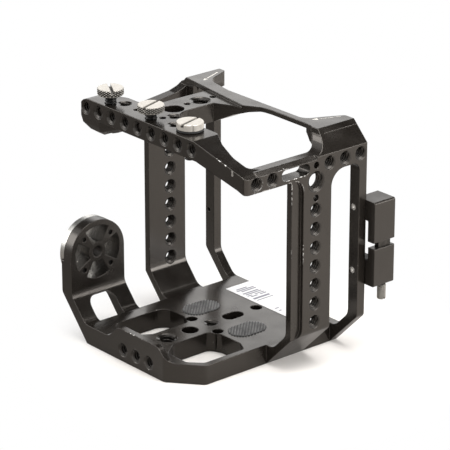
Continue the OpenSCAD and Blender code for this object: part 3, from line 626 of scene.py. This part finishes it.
def around(centre: Pair, z: float, radii: list[float]) -> list[Vector]:
    """Lays points round an upright axis.

    Args:
        centre: The axis's place.
        z: The points' height.
        radii: Each point's distance from the axis, over one turn.

    Returns:
        The points.
    """
    turns = ((r, 2 * math.pi * i / len(radii)) for i, r in enumerate(radii))
    return [Vector((centre[0] + r * math.cos(t), centre[1] + r * math.sin(t), z)) for r, t in turns]


def sheet(name: str, corners: list[Vector], material: bpy.types.Material) -> bpy.types.Object:
    """Makes one flat face.

    Args:
        name: The face's name.
        corners: Its corners in order, in metres.
        material: Its material.

    Returns:
        The face.
    """
    maker = MeshMaker(scale=1.0)
    maker.cap(maker.ring(corners))
    return maker.build(name, material)


def slot_cutter(centre: Pair, angle: float, half: Pair, low: float, high: float,
                material: bpy.types.Material) -> bpy.types.Object:
    """Makes a block that cuts a driving slot.

    Args:
        centre: The block's middle.
        angle: How far its length is turned from X, in degrees.
        half: Half its length and half its width.
        low: The height of its lower face.
        high: The height of its upper face.
        material: The material of the piece that it cuts.

    Returns:
        The block.
    """
    maker = MeshMaker()
    turn = Matrix.Rotation(math.radians(angle), 3, "Z")
    middle = Vector((*centre, 0.0))
    corners = [middle + turn @ Vector((sx * half[0], sy * half[1], 0.0))
               for sx, sy in ((-1, -1), (1, -1), (1, 1), (-1, 1))]
    maker.stack([maker.ring([p + Vector((0, 0, z)) for p in corners]) for z in (low, high)])
    return maker.build("slot_tool", material)


def cut_away(obj: bpy.types.Object, tools: list[bpy.types.Object]) -> None:
    """Cuts closed tools out of a piece and removes the tools.

    Args:
        obj: The piece.
        tools: The tools.
    """
    for tool in tools:
        modifier = obj.modifiers.new("cut", "BOOLEAN")
        modifier.operation = "DIFFERENCE"
        modifier.solver = "EXACT"
        modifier.object = tool
    graph = bpy.context.evaluated_depsgraph_get()
    made = bpy.data.meshes.new_from_object(obj.evaluated_get(graph))
    obj.modifiers.clear()
    old = obj.data
    made.name = old.name
    obj.data = made
    bpy.data.meshes.remove(old)
    for tool in tools:
        bpy.data.objects.remove(tool)


@dataclass(frozen=True)
class Knurl:
    """Diamond knurling: its grooves in one turn and in a millimetre of height, and their depth."""

    count: int
    rise: float
    depth: float
    steepness: float = 1.6

    def groove(self, share: float, z: float) -> float:
        """Works out how deep the knurling is at a place.

        Args:
            share: The place's share of a turn.
            z: Its height, in millimetres.

        Returns:
            The depth, in millimetres.
        """
        a, b = share * self.count, z * self.rise
        ridge = min(abs((a + b) % 1.0 - 0.5), abs((a - b) % 1.0 - 0.5)) * 2
        return self.depth * (1 - min(1.0, ridge * self.steepness))


@dataclass
class TappedHole:
    """One tapped hole: its mouth, the way in, its thread, and the length that is threaded."""

    mouth: Point
    way: Axis
    thread: Thread
    depth: float
    lead_in: float = 0.3
    sunk: float = 0.03
    crest_share: float = 0.07
    foot_share: float = 0.42
    run_out_share: float = 0.1
    per_turn: int = 26
    fade_steps: float = 4.5
    first_angle: float = -45.0

    def add_ridges(self, maker: MeshMaker) -> None:
        """Adds the thread's ridges as one helix from the mouth inwards.

        Args:
            maker: The mesh that takes them.
        """
        radius, height, pitch, sink = self.thread.value
        way = Vector(self.way.value)
        side = Vector((0, 0, 1)) if abs(way.z) < 0.9 else Vector((1, 0, 0))
        u = way.cross(side).normalized()
        v = way.cross(u).normalized()
        crest, foot = self.crest_share * pitch, self.foot_share * pitch
        length = self.depth - self.lead_in - self.run_out_share * pitch
        count = max(8, int(length / pitch * self.per_turn))
        rings = []
        for i in range(count + 1):
            angle = math.radians(self.first_angle) + 2 * math.pi * i / self.per_turn
            fade = max(0.02, min(1.0, i / self.fade_steps, (count - i) / self.fade_steps))
            out = u * math.cos(angle) + v * math.sin(angle)
            middle = self.lead_in + length * i / count
            points = []
            for shift, on_crest in ((-foot, False), (-crest, True), (crest, True), (foot, False)):
                depth = min(max(middle + shift, self.sunk), self.depth - self.sunk)
                root = radius + self.sunk + max(0.0, sink - depth)
                rise = (root - radius + height) * fade if on_crest else 0.0
                points.append(Vector(self.mouth) + way * depth + out * (root - rise))
            rings.append(maker.ring(points))
        maker.stack(rings, turned=True)


@dataclass
class HoleRows:
    """All tapped holes of the frame, row by row, in millimetres."""

    wall_out: float = 54.6
    wall_in: float = 49.5
    wall_depth: float = 5.1
    rail_z: float = 99.63
    rail_depth: float = 7.0
    column_y: float = 16.1
    column_top: float = 78.8
    column_pitch: float = 9.2
    large_z: float = 92.4
    large_depth: float = 5.0
    bar_top: float = 111.8
    bar_front: float = -26.4
    bar_first: float = -59.8
    bar_pitch: float = 9.67
    bar_z: float = 107.2
    bar_depth: float = 5.6
    bar_short_depth: float = 2.2
    bar_short: tuple[int, ...] = (1, 4)
    top_depth: float = 9.0
    base_top: float = 9.5
    base_front: float = -46.2
    base_middle: float = 0.6
    base_pitch: float = 9.45
    base_z: float = 5.8
    base_depth: float = 7.4
    base_through: float = 9.4
    hub_depth: float = 5.8

    def rows(self) -> dict[str, list[TappedHole]]:
        """Lists the frame's tapped holes.

        Returns:
            Each row's holes under the row's name.
        """
        def row(way: Axis, thread: Thread, depth: float, mouths: list[Point]) -> list[TappedHole]:
            """Makes holes of one kind at several mouths."""
            return [TappedHole(mouth, way, thread, depth) for mouth in mouths]

        right, front, down = Axis.IN_FROM_RIGHT, Axis.IN_FROM_FRONT, Axis.DOWN
        quarter, three = Thread.QUARTER, Thread.THREE_EIGHTHS
        column_z = [self.column_top - self.column_pitch * i for i in range(7)]
        walls = (self.wall_out, -self.wall_in)
        column_right, column_left = ([(x, self.column_y, z) for z in column_z] for x in walls)
        return {
            "bar": [TappedHole((self.bar_first + self.bar_pitch * i, self.bar_front, self.bar_z), front,
                               quarter, self.bar_short_depth if i in self.bar_short else self.bar_depth)
                    for i in range(9)],
            "rail_right": row(right, quarter, self.rail_depth,
                              [(self.wall_out, y, self.rail_z) for y in (-19.5, -10.0, 24.3, 33.8, 43.3)]),
            "rail_left": row(right, quarter, self.wall_depth,
                             [(-self.wall_in, y, self.rail_z) for y in (-19.5, -10.0)]),
            "column_right": row(right, quarter, self.wall_depth, column_right),
            "column_left": row(right, quarter, self.wall_depth, column_left),
            "column_large": row(right, three, self.large_depth,
                                [(x, self.column_y, self.large_z) for x in walls]),
            "base_front": row(front, quarter, self.base_depth,
                              [(self.base_middle + self.base_pitch * i, self.base_front, self.base_z)
                               for i in (-1, 0, 1)]),
            "base_middle": row(down, quarter, self.base_through, [(0.0, 0.0, self.base_top)])
            + row(down, three, self.base_through, [(0.0, -26.9, self.base_top)]),
            "top": row(down, quarter, self.top_depth,
                       [(x, y, self.bar_top) for x, y in ((-41.4, -17.3), (-12.7, -11.2), (-3.7, -18.3))])
            + row(down, three, self.top_depth, [(-22.3, 12.4, self.bar_top)]),
            "rosette_hub": row(right, Thread.METRIC_SIX, self.hub_depth, [(-47.4, -30.3, 39.2)]),
        }

    def dress(self, material: bpy.types.Material) -> None:
        """Builds one piece of thread ridges for each row.

        Args:
            material: The ridges' material.
        """
        for name, holes in self.rows().items():
            maker = MeshMaker()
            for hole in holes:
                hole.add_ridges(maker)
            piece = maker.build(f"threads_{name}", material, 50.0)
            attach(piece, "frame")
            log.info("%s: %d holes, %d faces", piece.name, len(holes), len(piece.data.polygons))


@dataclass
class ThumbScrew:
    """A captive 1/4 inch thumb screw: head, driving slot and threaded shank, in millimetres."""

    node: str
    body: str
    centre: Pair
    head_base: float
    slot_angle: float
    grip: Grip = Grip.KNURLED
    knurl: Knurl = Knurl(22, 0.9375, 0.75)
    head_r: float = 6.3
    head_h: float = 3.2
    hub_r: float = 0.4
    chamfer: float = 0.35
    slot_w: float = 1.6
    slot_h: float = 1.5
    notch_r: float = 1.3
    notch_out: float = 0.98
    shank_r: float = 2.8
    shank_l: float = 15.1
    shank_up: float = 0.3
    plain_l: float = 1.6
    tip_l: float = 0.9
    tip_share: float = 0.82
    pitch: float = 1.27
    thread_depth: float = 0.52

    def side_radius(self, share: float, z: float) -> float:
        """Works out the radius of the head's side.

        Args:
            share: The place's share of a turn.
            z: Its height over the head's base.

        Returns:
            The radius.
        """
        if self.grip is not Grip.KNURLED:
            return self.head_r
        run_out = min(1.0, z / self.chamfer, (self.head_h - z) / self.chamfer)
        return self.head_r - self.knurl.groove(share, z) * max(0.0, run_out)

    def shank_radius(self, share: float, z: float) -> float:
        """Works out the radius of the shank, with its thread and its chamfered tip.

        Args:
            share: The place's share of a turn.
            z: Its height.

        Returns:
            The radius.
        """
        ridge = 1 - abs((z / self.pitch - share) % 1.0 - 0.5) * 2
        cut = 0.0 if z > self.head_base - self.plain_l else 1 - min(1.0, ridge * 1.25)
        past_tip = min(1.0, (z - self.head_base + self.shank_l) / self.tip_l)
        whole = self.tip_share + (1 - self.tip_share) * past_tip
        return (self.shank_r - self.thread_depth * cut) * whole

    def head(self, material: bpy.types.Material) -> bpy.types.Object:
        """Builds the head: a broken lower edge, the gripping side, a chamfer and the flat top.

        Args:
            material: The head's material.

        Returns:
            The head, with its slot and any notches cut.
        """
        points, levels = self.grip.value
        top = self.head_base + self.head_h
        margin = self.chamfer * 0.6
        shape = [(self.head_base, [r] * points) for r in (self.hub_r, self.head_r - self.chamfer)]
        for k in range(levels):
            z = margin + (self.head_h - margin * 2) * k / (levels - 1)
            shape.append((self.head_base + z, [self.side_radius(i / points, z) for i in range(points)]))
        shape += [(top, [r] * points) for r in (self.head_r - self.chamfer, self.hub_r)]
        maker = MeshMaker()
        maker.stack([maker.ring(around(self.centre, z, radii)) for z, radii in shape])
        head = maker.build(f"{self.node}_head", material, 24.0)
        slot = slot_cutter(self.centre, self.slot_angle, (9.0, self.slot_w / 2), top - self.slot_h, top + 2.0,
                           material)
        cut_away(head, [slot] + (self.notch_tools(material) if self.grip is Grip.NOTCHED else []))
        return head

    def notch_tools(self, material: bpy.types.Material) -> list[bpy.types.Object]:
        """Makes round cutters for the four finger notches of the plain head.

        Args:
            material: The head's material.

        Returns:
            The cutters.
        """
        tools = []
        for i in range(4):
            t = math.radians(self.slot_angle + 45 + 90 * i)
            reach = self.head_r + self.notch_out
            middle = (self.centre[0] + reach * math.cos(t), self.centre[1] + reach * math.sin(t))
            maker = MeshMaker()
            maker.stack([maker.ring(around(middle, self.head_base + z, [self.notch_r] * 32))
                         for z in (-1.0, self.head_h + 1.0)])
            tools.append(maker.build("notch_tool", material))
        return tools

    def shank(self, material: bpy.types.Material) -> bpy.types.Object:
        """Builds the threaded shank.

        Args:
            material: The shank's material.

        Returns:
            The shank.
        """
        points, step = 40, 0.16
        tip = self.head_base - self.shank_l
        length = self.shank_l + self.shank_up
        count = int(self.shank_l / step)
        maker = MeshMaker()
        rings = []
        for k in range(count + 1):
            z = tip + length * k / count
            radii = [self.shank_radius(i / points, z) for i in range(points)]
            rings.append(maker.ring(around(self.centre, z, radii)))
        maker.stack(rings)
        return maker.build(f"{self.node}_shank", material, 40.0)

    def dress(self, material: bpy.types.Material, shank_material: bpy.types.Material) -> None:
        """Builds the screw's head and shank, which stand for the node.

        Args:
            material: The head's material.
            shank_material: The shank's material.
        """
        head, shank = self.head(material), self.shank(shank_material)
        for piece, slot in ((head, "nickel"), (shank, "dark_screw")):
            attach(piece, self.body)
        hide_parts(self.node)
        log.info("%s: %d faces", self.node, len(head.data.polygons) + len(shank.data.polygons))


@dataclass
class ClampKnob:
    """The plug clamp's screw: a long knurled head with a slot in its end, and a fine thread."""

    centre: Pair = (58.4, 54.6)
    top: float = 33.5
    head_r: float = 2.1
    head_h: float = 7.4
    hub_r: float = 0.3
    knurl: Knurl = Knurl(16, 1.25, 0.30)
    run_out_l: float = 0.4
    run_out_d: float = 0.22
    slot_half: Pair = (4.0, 0.4)
    slot_h: float = 1.0
    shank_r: float = 0.8
    shank_top: float = 56.7
    shank_down: float = 0.2
    pitch: float = 0.45
    thread_depth: float = 0.13

    def knob(self, material: bpy.types.Material) -> bpy.types.Object:
        """Builds the knurled head with the slot in its lower end.

        Args:
            material: The head's material.

        Returns:
            The head.
        """
        points, levels = 120, 46
        low = self.top - self.head_h
        maker = MeshMaker()
        rings = [maker.ring(around(self.centre, low, [self.hub_r] * points))]
        for k in range(levels):
            z = self.head_h * k / (levels - 1)
            edge = max(0.0, min(1.0, z / self.run_out_l, (self.head_h - z) / self.run_out_l))
            side = self.head_r - self.run_out_d * (1 - edge)
            radii = [side - self.knurl.groove(i / points, z) for i in range(points)]
            rings.append(maker.ring(around(self.centre, low + z, radii)))
        maker.stack(rings)
        knob = maker.build("clamp_screw_knob", material, 24.0)
        slot = slot_cutter(self.centre, 0.0, self.slot_half, low - 1.0, low + self.slot_h, material)
        cut_away(knob, [slot])
        return knob

    def shank(self, material: bpy.types.Material) -> bpy.types.Object:
        """Builds the fine thread.

        Args:
            material: The thread's material.

        Returns:
            The shank.
        """
        points, step = 16, 0.07
        count = int((self.shank_top - self.top) / step)
        length = self.shank_top - self.top + self.shank_down
        maker = MeshMaker()
        rings = []
        for k in range(count + 1):
            z = self.top - self.shank_down + length * k / count
            radii = [self.shank_r - self.thread_depth * abs((z / self.pitch - i / points) % 1.0 * 2 - 1)
                     for i in range(points)]
            rings.append(maker.ring(around(self.centre, z, radii)))
        maker.stack(rings)
        return maker.build("clamp_screw_shank", material, 50.0)

    def dress(self, material: bpy.types.Material) -> None:
        """Builds the knob and its shank, which stand for the node.

        Args:
            material: The screw's material.
        """
        knob, shank = self.knob(material), self.shank(material)
        for piece in (knob, shank):
            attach(piece, "clamp_knob")
        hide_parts("clamp_screw")
        log.info("clamp_screw: %d faces", len(knob.data.polygons) + len(shank.data.polygons))


@dataclass
class HornMark:
    """A plain arrow filled in white on a horn's top face: a head and a thin tail, in millimetres."""

    name: str
    tip: Pair
    tail: Pair
    height: float = 113.1
    head_l: float = 3.0
    head_w: float = 2.2
    line_w: float = 0.55
    gap: float = 0.9
    sunk: float = 0.15
    proud: float = 0.012

    def dress(self, material: bpy.types.Material) -> None:
        """Builds the arrow as a thin closed plate.

        Args:
            material: The arrow's material.
        """
        tip, tail = Vector((*self.tip, 0.0)), Vector((*self.tail, 0.0))
        along = (tail - tip).normalized()
        across = Vector((-along.y, along.x, 0.0))
        neck = tip + along * self.head_l
        start = neck + along * self.gap
        wide, thin = across * (self.head_w / 2), across * (self.line_w / 2)
        point = [tip, neck + wide, neck - wide]
        line = [start + thin, tail + thin, tail - thin, start - thin]
        maker = MeshMaker()
        for shape in (point, line):
            maker.stack([maker.ring([p + Vector((0, 0, z)) for p in shape])
                         for z in (self.height - self.sunk, self.height + self.proud)])
        piece = maker.build(self.name, material)
        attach(piece, "frame")
        log.info("%s", self.name)


@dataclass(frozen=True)
class SoftBox:
    """A rectangular light: its place, size and aim in metres, and its power in watts."""

    name: str
    place: Point
    size: Pair
    power: float
    colour: Colour = WARM
    aim: Point = (0.0, 0.0, 0.05)

    def hang(self) -> None:
        """Makes the light and turns it to its aim."""
        data = bpy.data.lights.new(self.name, "AREA")
        data.shape = "RECTANGLE"
        data.size, data.size_y = self.size
        data.energy = self.power
        data.color = self.colour
        lamp = bpy.data.objects.new(self.name, data)
        bpy.context.scene.collection.objects.link(lamp)
        lamp.location = self.place
        lamp.rotation_mode = "QUATERNION"
        lamp.rotation_quaternion = (Vector(self.aim) - Vector(self.place)).to_track_quat("-Z", "Y")


@dataclass
class Studio:
    """Plain pale floor, soft light, black cloths and the camera at the photograph's viewing angle.

    The camera's place and the middle of the floor's fade are in millimetres, all else in metres.
    """

    camera_at: Point = (903.25, -761.75, 525.44)
    right: Point = (0.6488108, 0.7609497, 0.0003613)
    down: Point = (0.2795724, -0.2379309, -0.9301764)
    ahead: Point = (-0.7077315, 0.6036095, -0.3671127)
    lens: float = 218.36
    sensor: float = 36.0
    clip: Pair = (0.05, 20.0)
    table_pale: Colour = (0.98, 0.955, 0.93)
    # Painted floor colours for other rays than the camera's: lit at the back right, dark at the front left.
    table_lit: Colour = (0.60, 0.575, 0.55)
    table_dark: Colour = (0.17, 0.16, 0.15)
    table_half: float = 3.0
    table_low: float = -0.0002
    fade_middle: Point = (22.0, 8.0, 0.0)
    fade: Pair = (0.058, 0.110)
    lit_from: Pair = (-0.16, 0.06)
    cloth: tuple[Colour, Colour] = ((0.004, 0.004, 0.004), (0.007, 0.007, 0.007))
    cloth_grain: Grain = Grain(40.0, low=0.4, high=0.6)
    cloth_foot: float = 0.42
    cloth_top: float = 1.0
    fill_strength: float = 0.85
    boxes: tuple[SoftBox, ...] = (
        SoftBox("top_box", (0.15, 0.1, 0.9), (0.7, 0.7), 7.0),
        SoftBox("key_right", (0.9, 0.45, 0.45), (0.7, 0.5), 6.0),
        SoftBox("fill_left", (-0.75, -0.75, 0.45), (0.7, 0.5), 3.5),
        SoftBox("back_box", (-0.95, 0.81, 0.47), (1.2, 0.36), 1.1),
    )

    def camera(self) -> None:
        """Makes the camera that took the photograph."""
        data = bpy.data.cameras.new("camera")
        data.sensor_width = self.sensor
        data.lens = self.lens
        data.clip_start, data.clip_end = self.clip
        camera = bpy.data.objects.new("camera", data)
        bpy.context.scene.collection.objects.link(camera)
        turn = Matrix([self.right, [-v for v in self.down], [-v for v in self.ahead]]).transposed()
        camera.matrix_world = Matrix.Translation(Vector(self.camera_at) * MM) @ turn.to_4x4()
        bpy.context.scene.camera = camera

    def floor(self) -> None:
        """Makes the floor, which fades into the white background away from the object; other rays than the
        camera's see painted light and shade on it, lighter at the back right and darker at the front left.
        """
        g = Graph("studio_floor")
        place = g.add("ShaderNodeTexCoord")
        far = g.offset("DISTANCE", place, "Object", self.fade_middle)
        fade = g.spread(far, "Value", *self.fade)
        fade.interpolation_type = "SMOOTHSTEP"
        split = g.add("ShaderNodeSeparateXYZ")
        g.join(place, "Object", split, 0)
        # Painted light and shade on the floor for reflections and bounces: lit at the back right, dark at the
        # front left.
        lit = g.spread(g.combine("ADD", split, split, "X", "Y"), 0, *self.lit_from)
        rays = g.add("ShaderNodeLightPath")
        shown = g.mix(rays, self.table_dark, self.table_pale, "Is Camera Ray")
        g.join(g.mix(lit, self.table_dark, self.table_lit), MIX_OUT, shown, MIX_A)
        g.join(shown, MIX_OUT, g.shader, "Base Color")
        g.look(Roughness=0.75, Specular_IOR_Level=0.1)
        white = g.add("ShaderNodeEmission", Color=(*WHITE, 1.0), Strength=1.0)
        mixed = g.add("ShaderNodeMixShader")
        g.join(g.combine("MULTIPLY", fade, rays, 0, "Is Camera Ray"), 0, mixed, 0)
        g.join(g.shader, 0, mixed, 1)
        g.join(white, 0, mixed, 2)
        g.join(mixed, 0, g.output, "Surface")
        corners = [Vector((sx * self.table_half, sy * self.table_half, 0.0))
                   for sx, sy in ((-1, -1), (1, -1), (1, 1), (-1, 1))]
        floor = sheet("floor", corners, g.material)
        floor.location.z = self.table_low

    def cloths(self) -> None:
        """Hangs a black cloth behind the object, above the white sweep, and a level one at its upper edge."""
        g = Graph("black_cloth")
        g.paint(g.mask(self.cloth_grain), *self.cloth)
        g.look(Roughness=1.0)
        away, side = Vector((-0.76, 0.65, 0.0)), Vector((0.65, 0.76, 0.0))
        half, gap, foot, top = 0.8, 0.6, self.cloth_foot, self.cloth_top
        behind = [away * gap + side * x + Vector((0, 0, z))
                  for x, z in ((-half, foot), (half, foot), (half, top), (-half, top))]
        near, far, wide = 0.42, 1.8, 1.2
        above = [Vector((x, y, top)) for x, y in ((-wide, near), (wide, near), (wide, far), (-wide, far))]
        for name, corners in (("cloth_behind", behind), ("cloth_above", above)):
            cloth = sheet(name, corners, g.material)
            cloth.visible_camera = False

    def world(self) -> None:
        """Makes a white background, with a dimmer share of it lighting matt surfaces."""
        world = bpy.data.worlds.new("studio")
        bpy.context.scene.world = world
        world.use_nodes = True
        nodes, links = world.node_tree.nodes, world.node_tree.links
        nodes.clear()
        out = nodes.new("ShaderNodeOutputWorld")
        mix = nodes.new("ShaderNodeMixShader")
        for socket, colour, strength in ((1, WARM, self.fill_strength), (2, WHITE, 1.0)):
            background = nodes.new("ShaderNodeBackground")
            background.inputs["Color"].default_value = (*colour, 1.0)
            background.inputs["Strength"].default_value = strength
            links.new(background.outputs[0], mix.inputs[socket])
        rays = nodes.new("ShaderNodeLightPath")
        white = rays.outputs["Is Camera Ray"]
        for kind in ("Is Glossy Ray", "Is Transmission Ray"):
            either = nodes.new("ShaderNodeMath")
            either.operation = "MAXIMUM"
            links.new(white, either.inputs[0])
            links.new(rays.outputs[kind], either.inputs[1])
            white = either.outputs[0]
        links.new(white, mix.inputs[0])
        links.new(mix.outputs[0], out.inputs["Surface"])

    def build(self) -> None:
        """Builds the studio."""
        bpy.context.scene.view_settings.view_transform = "Standard"
        self.camera()
        self.floor()
        self.world()
        for box in self.boxes:
            box.hang()
        self.cloths()
        log.info("studio: camera, floor, world, %d soft boxes and two cloths", len(self.boxes))


def dress_nodes() -> dict[str, bpy.types.Material]:
    """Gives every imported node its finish.

    Returns:
        The materials by the record's slot name.
    """
    finishes = {
        "anodised_frame": Anodised("anodised_frame", worn=WORN, flaked=FLAKED),
        "anodised_clamp": Anodised("anodised_clamp", roughness=0.33),
        "rosette_metal": TurnedMetal("turned_rosette", (-54.6, -30.3, 39.2)),
        # Near-black painted shade for the thumb screws' shanks, which stand in the heads' shadow.
        "dark_screw": PlatedMetal("shaded_dark_screw", (0.05, 0.048, 0.046), (0.03, 0.03, 0.03), 0.34),
        # The nickel's knurl grooves get painted shade from the crevice reach.
        "nickel": PlatedMetal("warm_nickel", (0.64, 0.61, 0.56), (0.05, 0.046, 0.04), 0.40,
                              crevice_shade_reach=0.0015, patchy=0.92, metallic=0.40),
        "washer_black": Rubber("black_washer", (0.018, 0.018, 0.018), (0.03, 0.03, 0.03)),
        "pad_rubber": Rubber("ribbed_rubber"),
        "tongue_steel": PlatedMetal("ground_tongue", (0.085, 0.080, 0.074), (0.055, 0.052, 0.048), 0.36),
        "bright_screw": PlatedMetal("bright_screw", (0.90, 0.88, 0.85), (0.76, 0.74, 0.71), 0.25),
        "label_film": PrintedFilm("printed_film", (-26.5, 31.8, 9.5)),
    }
    materials = {slot: finish.material() for slot, finish in finishes.items()}
    slots = {row["node"]: row["material_slot"] for row in frame["record"]["subparts"]}
    for name, obj in frame["nodes"].items():
        obj.data.materials.clear()
        obj.data.materials.append(materials[slots[name]])
        log.info("%s: %s", name, slots[name])
    return materials


def main() -> None:
    """Builds the studio, then the cage's looks in order."""
    logging.basicConfig(level=logging.INFO, format="%(name)s: %(message)s")
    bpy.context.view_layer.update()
    Studio().build()
    materials = dress_nodes()
    # The threads get a halved reflection tint as painted shade inside the holes, and a faint painted
    # highlight on their crests.
    HoleRows().dress(Anodised("shaded_anodised_threads", sheen=(0.50, 0.465, 0.43), roughness=0.17,
                              edge=0.00015, crest_highlight=0.03, chipped=False).material())
    nickel, dark = materials["nickel"], materials["dark_screw"]
    for screw in (ThumbScrew("thumb_screw_left", "thumb_left", (-46.6, -21.6), 116.2, 150.0),
                  ThumbScrew("thumb_screw_middle", "thumb_middle", (-17.7, -20.9), 115.4, 108.0),
                  ThumbScrew("thumb_screw_right", "thumb_right", (6.5, -17.7), 112.9, 105.0, Grip.NOTCHED)):
        screw.dress(nickel, dark)
    ClampKnob().dress(nickel)
    paint = Paint("white_filling").material()
    HornMark("horn_mark_left", (-40.7, 29.8), (-46.0, 43.2)).dress(paint)
    HornMark("horn_mark_right", (34.3, 31.2), (39.6, 44.6), line_w=0.28).dress(paint)


if __name__ == "__main__":
    main()
